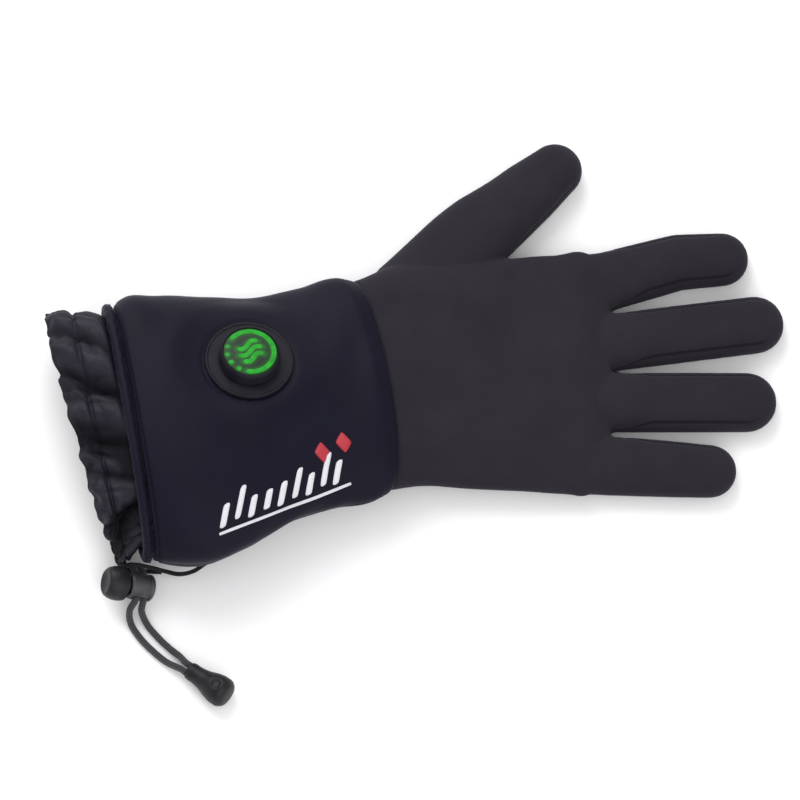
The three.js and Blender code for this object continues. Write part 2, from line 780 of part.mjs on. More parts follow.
// Each strand starts at the gaiter, goes through the lock and ends at the cord end
const gaiterNose = new THREE.Vector3(strandStart[0], strandStart[1], slotMiddle.z);
for (const [name, points] of Object.entries(strandPoints)) {
  const side = name === 'drawcord_front' ? 1 : -1;
  const inLock = slotMiddle.clone().addScaledVector(lockAxis, side * strandSpread);
  const start = gaiterNose.clone().addScaledVector(lockAxis, side * strandSpread);
  const finish = cordEndGroup.position.clone()
    .addScaledVector(cordEndSide, -side * strandSpread)
    .addScaledVector(cordEndWay, -gap);
  const lead = finish.clone().addScaledVector(cordEndWay, -cordRadius * 2);
  const route = [
    start,
    inLock.clone().add(new THREE.Vector3(0, lockRadius, 0)),
    inLock.clone().add(new THREE.Vector3(0, -lockRadius, 0)),
    ...points.map(([x, y, z]) => new THREE.Vector3(x, y, z)),
    lead,
    finish,
  ];
  addPiece(cordGroup, name, alongCurve(route, cordRadius, cordRadius, cordSides, cordSteps), colours.nylon);
}

// The tape that ties the lock to the cuff
const tapeRoute = tapePoints.map(([x, y, z]) => new THREE.Vector3(x, y, z));
const tape = alongCurve(tapeRoute, tapeWidth / 2, tapeThickness / 2, 4, tapeSteps);
addPiece(cordGroup, 'anchor_tape', tape, colours.nylon);
glove.add(cordGroup);

// The origin goes under the middle of the glove without its cords
const bounds = new THREE.Box3();
for (const child of glove.children) {
  if (child !== cordGroup) {
    bounds.expandByObject(child, true);
  }
}
const middle = bounds.getCenter(new THREE.Vector3());
glove.position.set(-middle.x, -middle.y, -bounds.min.z);

export default glove;
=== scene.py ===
import math

import bmesh
import bpy
import numpy as np
from mathutils import Matrix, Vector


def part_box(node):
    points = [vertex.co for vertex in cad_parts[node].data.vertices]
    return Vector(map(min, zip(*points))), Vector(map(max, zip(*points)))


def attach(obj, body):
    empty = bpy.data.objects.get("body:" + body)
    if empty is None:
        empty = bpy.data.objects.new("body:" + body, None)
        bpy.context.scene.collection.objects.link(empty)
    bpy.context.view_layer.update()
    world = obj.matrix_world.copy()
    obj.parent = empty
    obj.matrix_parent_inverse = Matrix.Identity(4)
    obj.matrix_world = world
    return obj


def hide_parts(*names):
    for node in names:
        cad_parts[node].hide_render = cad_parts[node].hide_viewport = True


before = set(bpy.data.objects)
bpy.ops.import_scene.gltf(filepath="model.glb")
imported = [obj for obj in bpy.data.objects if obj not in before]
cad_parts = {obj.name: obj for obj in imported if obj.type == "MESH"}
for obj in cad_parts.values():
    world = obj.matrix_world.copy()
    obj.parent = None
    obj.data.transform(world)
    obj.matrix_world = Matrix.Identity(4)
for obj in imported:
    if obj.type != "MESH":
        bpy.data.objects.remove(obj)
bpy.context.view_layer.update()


# The knit hand. Thin brushed stretch knit, cut as a back, a palm with the outer flanks and
# four strips between the digits, and overlocked edge to edge. One skin of even thickness,
# open at the wrist.
TABLE_TO_FRAME = np.array([-1.44, 4.01, 0.0])
ROUNDNESS = 2.2
SEAM_MIDDLE = (-20.0, -19.0)
SEAM_HALF = (48.16, 17.0)
SEAM_SKEW = -0.183
SEAM_LEAN = 0.55
SEAM_GAP = 0.3
SUNK = 0.9
TUCKED_IN = 6.0
PALM_LENGTH = 102.0
PALM_HALF = (55.0, 10.5)
BACK_SEAM = 11.0
PALM_SEAM = 4.0
SEAM_DROP = 4.0
KNIT_WALL = 1.4
KNIT_CELL = 1.1
KNIT_SWELL = 0.45
KNUCKLE_STEP = 9.0

# along the palm, drift to the thumb side in mm, then shares of the half width and height
PALM_ROWS = np.array([
    [0.22, 6.2, 0.900, 1.27],
    [0.42, 8.0, 0.935, 1.13],
    [0.62, 8.8, 0.960, 1.05],
    [0.82, 9.2, 0.985, 0.93],
    [0.94, 10.0, 0.995, 0.82],
])

# knuckle X and Y, length, half width at the root and at the tip, half thickness, degrees
# that the root turns, degrees of bend, and how far the form reaches back into the palm
DIGITS = {
    "thumb": (31.3, 57.1, 51.8, 15.60, 11.40, 9.00, 41.7, 0.0, 48.0),
    "index": (85.77, 34.30, 59.8, 12.80, 11.40, 7.25, 15.8, -12.0, 34.0),
    "middle": (88.02, 5.96, 72.0, 12.50, 12.35, 7.25, 7.4, 0.0, 34.0),
    "ring": (89.96, -21.87, 66.3, 12.95, 12.85, 7.25, 0.0, 0.0, 34.0),
    "little": (88.02, -50.90, 50.9, 12.75, 11.30, 7.25, -3.5, 0.0, 34.0),
}

# half width at the back end of a form, as a share of the root's, where the palm needs it
REAR_SHARE = {"index": 1.3, "little": 1.12}

# shallow creases of the back: start and end in X and Y, depth, half width
CREASES = [
    (44, 45, 22, 30, 0.55, 3.2),
    (48, 41, 40, 22, 0.45, 3.0),
    (96, 20, 80, 17, 0.5, 2.4),
    (98, 22, 84, 28, 0.35, 2.2),
    (97, -8, 82, -5, 0.5, 2.4),
    (98, -7, 84, -16, 0.35, 2.2),
    (93, -36, 78, -33, 0.5, 2.4),
    (94, -37, 80, -45, 0.35, 2.2),
    (-14, 12, 6, 20, 0.4, 4.0),
    (-12, -30, 14, -34, 0.4, 4.5),
    (-12, -8, 16, -4, 0.3, 5.0),
]


def soften(value):
    """A sine or cosine to the power 2/ROUNDNESS with its sign kept: it squares an oval off."""
    return np.sign(value) * np.abs(value) ** (2 / ROUNDNESS)


def step_up(value):
    """3v^2 - 2v^3 of v held between 0 and 1: a smooth step."""
    held = np.clip(value, 0.0, 1.0)
    return held * held * (3 - 2 * held)


def bell(off, spread):
    """exp(-(off/spread)^2): 1 in the middle, falling off to both sides."""
    return np.exp(-(off / spread) ** 2)


def through_rows(rows, at):
    """Columns of a table at values of its first one: cubics with the neighbours' slope."""
    first, rest = rows[:, 0], rows[:, 1:]
    slope = np.gradient(rest, first, axis=0)
    low = np.clip(np.searchsorted(first, at, side="right") - 1, 0, len(first) - 2)
    span = (first[low + 1] - first[low])[:, None]
    t = ((at - first[low])[:, None]) / span
    return (
        (2 * t**3 - 3 * t**2 + 1) * rest[low]
        + (t**3 - 2 * t**2 + t) * span * slope[low]
        + (3 * t**2 - 2 * t**3) * rest[low + 1]
        + (t**3 - t**2) * span * slope[low + 1]
    )


def grid_faces(rows, columns):
    """Four corner numbers for each cell of a grid of points, row by row."""
    corner = (np.arange(rows - 1)[:, None] * columns + np.arange(columns - 1)).ravel()
    return np.stack([corner, corner + 1, corner + columns + 1, corner + columns], axis=1)


def add_object(name, data):
    """An object of the scene with its data."""
    made = bpy.data.objects.new(name, data)
    bpy.context.scene.collection.objects.link(made)
    return made


def make_piece(name, points, faces, uv=None, merge=0.0, outward=True):
    """A smooth mesh at the origin from points in table millimetres and corner numbers.

    uv holds a pair for each point. Points closer than merge mm become one, and outward
    turns the faces of a closed form to the outside.
    """
    where = (points.reshape(-1, 3) + TABLE_TO_FRAME) / 1000
    mesh = bpy.data.meshes.new(name)
    mesh.from_pydata(where.tolist(), [], faces.tolist())
    if uv is not None:
        layer = mesh.uv_layers.new(name="UVMap")
        layer.data.foreach_set("uv", uv.reshape(-1, 2)[faces.ravel()].ravel())
    work = bmesh.new()
    work.from_mesh(mesh)
    if merge:
        bmesh.ops.remove_doubles(work, verts=work.verts, dist=merge / 1000)
        bmesh.ops.dissolve_degenerate(work, edges=work.edges, dist=merge / 5000)
    if outward:
        bmesh.ops.recalc_face_normals(work, faces=work.faces)
    work.to_mesh(mesh)
    work.free()
    mesh.polygons.foreach_set("use_smooth", np.ones(len(mesh.polygons), dtype=bool))
    return add_object(name, mesh)


def modified_mesh(piece, *modifiers):
    """Puts modifiers on a piece in order and keeps only the mesh that they give."""
    for kind, values in modifiers:
        modifier = piece.modifiers.new(kind.lower(), kind)
        for key, value in values.items():
            setattr(modifier, key, value)
    graph = bpy.context.evaluated_depsgraph_get()
    mesh = bpy.data.meshes.new_from_object(piece.evaluated_get(graph))
    piece.modifiers.clear()
    old = piece.data
    piece.data = mesh
    mesh.name = piece.name
    bpy.data.meshes.remove(old)
    mesh.polygons.foreach_set("use_smooth", np.ones(len(mesh.polygons), dtype=bool))
    return piece


def table_points(piece):
    """The piece's points in table millimetres, and their normals."""
    mesh = piece.data
    flat = np.empty(len(mesh.vertices) * 3)
    mesh.vertices.foreach_get("co", flat)
    normals = np.empty(len(mesh.vertices) * 3)
    mesh.vertex_normals.foreach_get("vector", normals)
    return flat.reshape(-1, 3) * 1000 - TABLE_TO_FRAME, normals.reshape(-1, 3)


def put_points(piece, points):
    """Writes points in table millimetres back into the piece."""
    piece.data.vertices.foreach_set("co", ((points + TABLE_TO_FRAME) / 1000).ravel())
    piece.data.update()


def ways(angle):
    """The direction at an angle in degrees, and the one a quarter turn on from it."""
    turn = np.radians(angle)
    along = np.stack([np.cos(turn), np.sin(turn), np.zeros_like(turn)], axis=-1)
    side = np.stack([-np.sin(turn), np.cos(turn), np.zeros_like(turn)], axis=-1)
    return along, side


def digit_form(name):
    """A digit as rings along its centre line.

    Half width goes from the root's to the tip's; in the last tip half width the rings
    close as sqrt(1 - (1 - b)^2), b being what is left as a share of it. The floor
    flattens each ring.
    """
    x, y, length, root, tip, thick, turn, bend, back = DIGITS[name]
    steps = np.concatenate([
        np.linspace(-back, length - tip, 36, endpoint=False),
        length - tip * (1 - np.sin(np.linspace(0, np.pi / 2, 12))),
    ])
    left = np.clip((length - steps) / tip, 0, 1)
    opening = np.sqrt(1 - (1 - left) ** 2) * (0.9 + 0.1 * step_up((steps + back) / back))
    rear = root * REAR_SHARE.get(name, 0.96)
    half = np.interp(steps, [-back, 0, length / 2, length - tip],
                     [rear, root, (root + tip) / 2, tip])
    knuckle = np.array([x, y, 0.0])
    root_way, _ = ways(np.array(turn))
    tip_way, _ = ways(np.array(turn + bend))
    past = np.maximum(steps - length / 2, 0)[:, None]
    centre = knuckle + root_way * (steps[:, None] - past) + tip_way * past
    _, side = ways(turn + bend * step_up(steps / length * 2 - 0.5))
    angle = np.linspace(0, 2 * np.pi, 37)
    across = soften(np.cos(angle)) * (half * opening)[:, None]
    height = SUNK * thick + soften(np.sin(angle)) * (thick * opening)[:, None]
    points = centre[:, None] + side[:, None] * across[..., None]
    points[..., 2] = np.maximum(height, 0)
    return points


def palm_form():
    """The palm as rings from just inside the cuff to the knuckles.

    Each ring is a softened oval that the floor flattens, leaning and skewed as the hand
    seam does and square to the palm at the knuckles.
    """
    half_width, half_height = SEAM_HALF
    share = PALM_ROWS[:, 0]
    rows = np.column_stack([
        share * PALM_LENGTH,
        SEAM_MIDDLE[1] + PALM_ROWS[:, 1],
        PALM_HALF[0] * PALM_ROWS[:, 2],
        PALM_HALF[1] * PALM_ROWS[:, 3],
        SUNK * PALM_HALF[1] * PALM_ROWS[:, 3],
        SEAM_SKEW * (1 - share),
        SEAM_LEAN * (1 - share) * 0.6,
    ])
    seam = [SEAM_GAP, SEAM_MIDDLE[1], half_width - 2, half_height - 2, SUNK * half_height,
            SEAM_SKEW, SEAM_LEAN]
    inside = [-TUCKED_IN, *seam[1:]]
    last = rows[-1]
    end = [last[0] + KNUCKLE_STEP, SEAM_MIDDLE[1] + 10, last[2] - KNUCKLE_STEP, last[3] - 3,
           SUNK * (last[3] - 3), 0, 0]
    table = np.vstack([inside, seam, rows, end])
    at = np.concatenate([np.linspace(-TUCKED_IN, last[0], 60, endpoint=False),
                         np.linspace(last[0], last[0] + KNUCKLE_STEP, 6)])
    y, wide, high, middle, skew, lean = (column[:, None] for column in through_rows(table, at).T)
    angle = np.linspace(0, 2 * np.pi, 73)
    side = soften(np.cos(angle)) * wide
    height = np.maximum(middle + soften(np.sin(angle)) * high, 0)
    x = SEAM_MIDDLE[0] + at[:, None] + skew * side + lean * (height - middle)
    return np.stack([x, y + side, height], axis=-1)


def walked_along(path):
    """The length of a path up to each of its points."""
    return np.concatenate([[0], np.cumsum(np.linalg.norm(np.diff(path, axis=0), axis=1))])


def uv_grid(across, along):
    """UV pairs of a grid of points: one value for each column and one for each row."""
    return np.stack(np.broadcast_arrays(across[None], along[:, None]), axis=-1)


def capped(points):
    """A ring grid whose two ends close to a point in the middle of the end rings."""
    first = np.broadcast_to(points[0, :-1].mean(axis=0), points[0].shape)
    final = np.broadcast_to(points[-1, :-1].mean(axis=0), points[-1].shape)
    return np.concatenate([first[None], points, final[None]])


def end_to_end(uv):
    """The UV of rings whose two ends are closed."""
    return np.concatenate([uv[:1], uv, uv[-1:]])


def ring_piece(name, points, uv=None):
    """A closed piece from rings of points, each ring ending where it starts."""
    return make_piece(name, points, grid_faces(*points.shape[:2]), uv=uv, merge=0.004)


def crease_depth(points, start_x, start_y, end_x, end_y, depth, width):
    """Depth of one crease: a bell across its line that fades to its two ends."""
    line = np.array([end_x - start_x, end_y - start_y], dtype=float)
    off = points[:, :2] - (start_x, start_y)
    along = off @ line / (line @ line)
    side = np.linalg.norm(off - np.clip(along, 0, 1)[:, None] * line, axis=1)
    fade = np.sin(np.pi * np.clip(along * 0.8 + 0.2, 0, 1)) ** 0.7
    return depth * fade * bell(side, width)


hand = ring_piece("knit_hand", capped(palm_form()))
digit_pieces = [ring_piece(f"form_{name}", capped(digit_form(name))) for name in DIGITS]
joined = bmesh.new()
joined.from_mesh(hand.data)
for piece in digit_pieces:
    joined.from_mesh(piece.data)
    bpy.data.objects.remove(piece)
joined.to_mesh(hand.data)
joined.free()
modified_mesh(
    hand,
    ("REMESH", {"mode": "VOXEL", "voxel_size": KNIT_CELL / 1000}),
    ("SMOOTH", {"factor": 0.5, "iterations": 5}),
)
trimmed = bmesh.new()
trimmed.from_mesh(hand.data)
seam_point = (np.array([SEAM_MIDDLE[0] + SEAM_GAP, SEAM_MIDDLE[1], SUNK * SEAM_HALF[1]])
              + TABLE_TO_FRAME) / 1000
bmesh.ops.bisect_plane(
    trimmed,
    geom=trimmed.verts[:] + trimmed.edges[:] + trimmed.faces[:],
    plane_co=seam_point,
    plane_no=(1.0, -SEAM_SKEW, -SEAM_LEAN),
    clear_inner=True,
)
trimmed.to_mesh(hand.data)
trimmed.free()


def strip_mask(points):
    """Where the strips are sewn in beside the digits, and how far each point is above a seam.

    The mask is 1 beside a digit and fades to 0 behind the crotches and round the tips. The
    seam with the back drops towards the crotch, so that the strip narrows to it.
    """
    mask = np.zeros(len(points))
    drop = np.full(len(points), SEAM_DROP)
    for name, (x, y, length, root, _, _, turn, _, _) in DIGITS.items():
        way, side = ways(np.array(turn))
        off = points - (x, y, 0)
        along = off @ way
        across = off @ side
        if name == "thumb":
            across = np.minimum(across, 0)
        if name == "little":
            across = np.maximum(across, 0)
        reach = 17 if name == "thumb" else 13
        near = step_up((along + reach) / 9) * step_up((root + 5 - np.abs(across)) / 4)
        near = near * step_up((length - 5 - along) / 9)
        mask = np.maximum(mask, near * step_up((np.abs(across) - root * 0.3) / 3))
        lower = np.minimum(drop, SEAM_DROP * step_up((16 - along) / 26))
        drop = np.where(near > 0.01, lower, drop)
    return mask, points[:, 2] - BACK_SEAM + drop


points, normals = table_points(hand)
sewn, above_seam = strip_mask(points)
dent = sum(crease_depth(points, *row) for row in CREASES)
slow = (np.sin(points[:, 0] / 11 + 1.3 * np.sin(points[:, 1] / 17))
        * np.sin(points[:, 1] / 9 + points[:, 0] / 31))
beside_seam = bell(above_seam, 1.3) * sewn
puckers = beside_seam * (0.20 + 0.10 * np.sin(points[:, 0] / 0.9 + np.sin(points[:, 1] / 3)))
on_top = step_up((points[:, 2] - 6) / 6)
outer_side = step_up((points[:, 1] - 10) / 25) * step_up((38 - points[:, 0]) / 30)
past_cuff = (points[:, 0] - SEAM_MIDDLE[0] - SEAM_SKEW * (points[:, 1] - SEAM_MIDDLE[1])
             - SEAM_LEAN * (points[:, 2] - SUNK * SEAM_HALF[1]))
low_side = step_up((-points[:, 1] - 48) / 14) * bell(points[:, 0] - 1, 14)
inward = (dent + 0.14 * slow) * on_top + puckers - KNIT_SWELL
inward = inward - 2.6 * outer_side + 1.4 * low_side + bell(past_cuff, 2.2)
moved = points - normals * inward[:, None]
moved[:, 2] = np.maximum(moved[:, 2], 0.0)
put_points(hand, moved)
mask = hand.data.attributes.new("strip", "FLOAT", "POINT")
mask.data.foreach_set("value", sewn.astype(np.float32))
seam_height = hand.data.attributes.new("above_seam", "FLOAT", "POINT")
seam_height.data.foreach_set("value", (above_seam / 1000).astype(np.float32))
modified_mesh(hand, ("SOLIDIFY", {"thickness": KNIT_WALL / 1000, "offset": -1.0}))


def new_group(name, inputs, outputs):
    """A shader node group with named float inputs and outputs, and its two end nodes."""
    group = bpy.data.node_groups.new(name, "ShaderNodeTree")
    for socket, start in inputs:
        made = group.interface.new_socket(socket, in_out="INPUT", socket_type="NodeSocketFloat")
        made.default_value = start
    for socket in outputs:
        group.interface.new_socket(socket, in_out="OUTPUT", socket_type="NodeSocketFloat")
    return group, group.nodes.new("NodeGroupInput"), group.nodes.new("NodeGroupOutput")


def link(tree, source, target):
    """Joins (node, socket) to (node, socket)."""
    tree.links.new(source[0].outputs[source[1]], target[0].inputs[target[1]])


def add_node(tree, kind, **values):
    """A node with its settings; a name with _in_ sets an input by number or name."""
    node = tree.nodes.new("ShaderNode" + kind)
    for key, value in values.items():
        if key.startswith("in_"):
            number = key[3:]
            node.inputs[int(number) if number.isdigit() else number].default_value = value
        else:
            setattr(node, key, value)
    return node


def add_math(tree, operation, *sources, **values):
    """A Math node whose inputs come from sources in turn; None leaves an input as it is."""
    node = add_node(tree, "Math", operation=operation, **values)
    for number, source in enumerate(sources):
        if source is not None:
            link(tree, source, (node, number))
    return node


def crossed_waves(tree, place, **values):
    """Two band waves across each other from a place's socket, and their product."""
    waves = [add_node(tree, "TexWave", wave_type="BANDS", bands_direction=direction, **values)
             for direction in "XY"]
    for wave in waves:
        link(tree, place, (wave, "Vector"))
    return waves, add_math(tree, "MULTIPLY", *((wave, "Fac") for wave in waves))


def object_noise(tree, scale, detail, **more):
    """A noise in Object coordinates."""
    place = add_node(tree, "TexCoord")
    noise = add_node(tree, "TexNoise", in_Scale=scale, in_Detail=detail, **more)
    link(tree, (place, "Object"), (noise, "Vector"))
    return noise


def colour_ramp(tree, source, target, dark, light, low=0.0, high=1.0):
    """A ramp from dark at low to light at high, from a source's socket to a target's."""
    ramp = add_node(tree, "ValToRGB")
    for end, position, colour in zip(ramp.color_ramp.elements, (low, high), (dark, light)):
        end.position = position
        end.color = (*colour, 1)
    link(tree, source, (ramp, "Fac"))
    link(tree, (ramp, "Color"), target)
    return ramp


def add_bump(tree, source, shader, strength, distance, under=None, **settings):
    """A bump from a source's socket to the shader's normal, on top of the bump under it."""
    bump = add_node(tree, "Bump", in_Strength=strength, in_Distance=distance, **settings)
    link(tree, source, (bump, "Height"))
    if under is not None:
        link(tree, (under, "Normal"), (bump, "Normal"))
    link(tree, (bump, "Normal"), (shader, "Normal"))
    return bump


def map_range(tree, source, values, **settings):
    """A range node from a source's socket; values are From Min, From Max, To Min and To Max."""
    node = add_node(tree, "MapRange", **settings)
    for key, value in zip(("From Min", "From Max", "To Min", "To Max"), values):
        node.inputs[key].default_value = value
    link(tree, source, (node, "Value"))
    return node


WAVE_SCALE = 0.31416


def cloth_group():
    """Fine yarns in Object coordinates.

    Height is two crossing waves of one pitch, broken by noise, and Mottle is a slow noise
    with a little quick fuzz, both about 0 to 1.
    """
    group, given, result = new_group(
        "cloth_yarns", [("Pitch", 0.0008), ("Fuzz", 0.5)], ["Height", "Mottle"])
    place = add_node(group, "TexCoord")
    scale = add_math(group, "DIVIDE", None, (given, "Pitch"), in_0=WAVE_SCALE)
    waves, crossing = crossed_waves(group, (place, "Object"), in_Distortion=0.6)
    for wave in waves:
        wave.inputs["Detail Scale"].default_value = 0.3
        link(group, (scale, 0), (wave, "Scale"))
    fuzz = object_noise(group, 2600.0, 3.0)
    height = add_node(group, "Mix", data_type="FLOAT")
    link(group, (given, "Fuzz"), (height, 0))
    link(group, (crossing, 0), (height, 2))
    link(group, (fuzz, "Fac"), (height, 3))
    link(group, (height, 0), (result, "Height"))
    slow = object_noise(group, 38.0, 5.0, in_Roughness=0.62)
    mottle = add_node(group, "Mix", data_type="FLOAT", in_0=0.25)
    link(group, (slow, "Fac"), (mottle, 2))
    link(group, (fuzz, "Fac"), (mottle, 3))
    link(group, (mottle, 0), (result, "Mottle"))
    return group


CLOTH_YARNS = cloth_group()


def start_material(name, roughness, **fixed):
    """A Principled material whose fixed sockets are set on the shader itself."""
    material = bpy.data.materials.new(name)
    material.use_nodes = True
    shader = material.node_tree.nodes["Principled BSDF"]
    shader.inputs["Roughness"].default_value = roughness
    for key, value in fixed.items():
        shader.inputs[key.replace("_", " ")].default_value = value
    return material, material.node_tree, shader


def cloth_material(name, dark, light, roughness, pitch, fuzz, relief, **fixed):
    """Cloth of two close colours mixed by its mottle, with its yarns as a fine bump."""
    material, tree, shader = start_material(name, roughness, **fixed)
    yarns = add_node(tree, "Group")
    yarns.node_tree = CLOTH_YARNS
    yarns.inputs["Pitch"].default_value = pitch
    yarns.inputs["Fuzz"].default_value = fuzz
    colour = colour_ramp(tree, (yarns, "Mottle"), (shader, "Base Color"), dark, light, 0.32, 0.68)
    bump = add_bump(tree, (yarns, "Height"), shader, relief, 0.0003)
    return material, tree, shader, colour, bump


knit, tree, shader, colour, bump = cloth_material(
    "brushed_knit", (0.0155, 0.0137, 0.0184), (0.0210, 0.0187, 0.0250), 0.95, 0.0009, 0.65,
    0.35, Specular_IOR_Level=0.12, Sheen_Weight=0.10, Sheen_Roughness=0.45,
    Sheen_Tint=(0.62, 0.58, 0.68, 1))
place = add_node(tree, "TexCoord")
split = add_node(tree, "SeparateXYZ")
link(tree, (place, "Object"), (split, "Vector"))
strip = add_node(tree, "Attribute", attribute_name="strip")
SEAM_LINE = (0.0001, 0.0006, 1.0, 0.0)
lines = []
back_line = add_node(tree, "Attribute", attribute_name="above_seam")
palm_line = add_math(tree, "SUBTRACT", (split, "Z"), in_1=PALM_SEAM / 1000)
for source in ((back_line, "Fac"), (palm_line, 0)):
    size = add_math(tree, "ABSOLUTE", source)
    lines.append(map_range(tree, (size, 0), SEAM_LINE, interpolation_type="SMOOTHSTEP"))
both = add_math(tree, "MAXIMUM", *((line, "Result") for line in lines))
seam_line = add_math(tree, "MULTIPLY", (both, 0), (strip, "Fac"))
shadow = add_node(tree, "Mix", data_type="RGBA", blend_type="MULTIPLY",
                  in_7=(0.50, 0.50, 0.52, 1))
link(tree, (seam_line, 0), (shadow, 0))
link(tree, (colour, "Color"), (shadow, 6))
link(tree, (shadow, 2), (shader, "Base Color"))
add_bump(tree, (seam_line, 0), shader, 0.8, 0.0006, under=bump, invert=True)
hand.data.materials.append(knit)
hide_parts("hand_back", "hand_palm", "side_strip_thumb_index",
            "side_strip_index_middle", "side_strip_middle_ring", "side_strip_ring_little")
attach(hand, "glove")


# The cuff. Foam between two layers of smooth stretch cloth, one tube that flares to its
# open end, with a rolled front edge over the hand, a side seam low on its little finger
# side, and a seat that the control's flange presses into its back.
CUFF_LENGTH = 100.0
CUFF_WALL = 4.0
CUFF_RISE = 24.0
CUFF_HALF = (56.0, 25.0)
MOUTH_SKEW = -0.163
MOUTH_LEAN = 0.06
CREST = 9.0
PIXEL = 0.43

# along the cuff, rise to its hand end, shares of the half width and of the half height
CUFF_ROWS = np.array([
    [0.00, 0.00, 1.000, 0.98],
    [0.07, 0.03, 1.050, 1.02],
    [0.20, 0.08, 1.075, 1.04],
    [0.40, 0.28, 1.010, 0.95],
    [0.60, 0.57, 0.910, 0.84],
    [0.80, 0.81, 0.885, 0.76],
    [0.93, 0.93, 0.893, 0.73],
    [1.00, 1.00, 0.860, 0.68],
])

# soft dents of the back: share along, degrees round, depth, spread along, spread round
CUFF_DENTS = [
    (0.34, 52, 0.5, 0.10, 9),
    (0.66, 52, 0.6, 0.09, 10),
    (0.22, 128, 0.9, 0.09, 12),
    (0.74, 128, 1.0, 0.10, 12),
    (0.88, 78, 0.7, 0.05, 22),
    (0.50, 150, 0.4, 0.12, 10),
    (0.86, 152, 0.4, 0.07, 10),
]


def turned_from(turn, at):
    """Degrees round from an angle, between -180 and 180."""
    return (turn - at + 540) % 360 - 180


def flank_swell(share, turn):
    """How far the cuff's thumb side stands out: three bells along it, one bell round it."""
    along = (4.7 * bell(share - 0.05, 0.105) + 1.8 * bell(share - 0.28, 0.22)
             + 1.4 * bell(share - 0.95, 0.17))
    return along * bell(turned_from(turn, 22), 30)


def cuff_plain(share, turn, inset=0.0):
    """The cuff's surface at a share of its length and an angle in degrees round it.

    A softened oval from the table's rows, its top shifted sideways by a crest, its ring
    skewed and leaning from the mouth's values to the hand seam's, flattened by the floor.
    """
    share, turn = np.broadcast_arrays(share, turn)
    held = np.clip(share, 0, 1).ravel()
    rise, wide, high = (
        column.reshape(share.shape) for column in through_rows(CUFF_ROWS, held).T)
    swell = flank_swell(share, turn)
    half_width = CUFF_HALF[0] * wide - inset + swell
    half_height = CUFF_HALF[1] * high - inset + swell
    middle = SUNK * CUFF_HALF[1] * high
    crest = -CREST * np.sin(np.pi * np.minimum(1, np.clip(share, 0, 1) + 0.15))
    angle = np.radians(turn)
    up = soften(np.sin(angle))
    side = soften(np.cos(angle)) * half_width + crest * np.maximum(up, 0)
    height = np.maximum(middle + up * half_height, inset)
    skew = MOUTH_SKEW + (SEAM_SKEW - MOUTH_SKEW) * share
    lean = MOUTH_LEAN + (SEAM_LEAN - MOUTH_LEAN) * share
    x = SEAM_MIDDLE[0] - CUFF_LENGTH * (1 - share) + skew * side + lean * (height - middle)
    y = SEAM_MIDDLE[1] - CUFF_RISE * (1 - rise) + side
    return np.stack([x, y, height], axis=-1)


def unit(vectors):
    """Vectors at length 1."""
    return vectors / np.maximum(np.linalg.norm(vectors, axis=-1, keepdims=True), 1e-9)


def cross_of(surface, share, turn):
    """The outward normal of a surface of share and angle, from two short steps."""
    along = surface(share + 0.004, turn) - surface(share - 0.004, turn)
    around = surface(share, turn + 0.5) - surface(share, turn - 0.5)
    return unit(np.cross(around, along))


# the control's place on the cuff: share along it and degrees round it, and from its foot up
# to the flange's middle
HALF_FLANGE = 1.2
SEAT_SHARE = np.array(0.46)
SEAT_TURN = np.array(63.2)
seat_step = cuff_plain(SEAT_SHARE + 0.04, SEAT_TURN) - cuff_plain(SEAT_SHARE - 0.04, SEAT_TURN)
seat_round = cuff_plain(SEAT_SHARE, SEAT_TURN + 6) - cuff_plain(SEAT_SHARE, SEAT_TURN - 6)
control_box = [np.array(corner) * 1000 - TABLE_TO_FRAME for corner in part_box("control_base")]
CONTROL_OUT = -unit(np.cross(seat_step, seat_round))
CONTROL_OUT = unit(CONTROL_OUT * (0.5, 1.0, 1.0))
CONTROL_FOOT = sum(control_box) / 2 - HALF_FLANGE * CONTROL_OUT
CONTROL_RIGHT = unit(np.array([1.0, 0, 0]) - CONTROL_OUT[0] * CONTROL_OUT)
CONTROL_UP = np.cross(CONTROL_OUT, CONTROL_RIGHT)
FLANGE_RADIUS = 19.0


def stitch_offset(turn):
    """How far the hem stitching is from the cuff's open end: wider to the little finger."""
    low = step_up((turn - 20) / 150) * step_up((300 - turn) / 80)
    return 0.9 + 0.7 * low


def seam_turn(share):
    """The angle of the side seam: round the low flank near the hand, under it further back."""
    return 180.0 + 24.0 * step_up((0.95 - share) / 0.6)


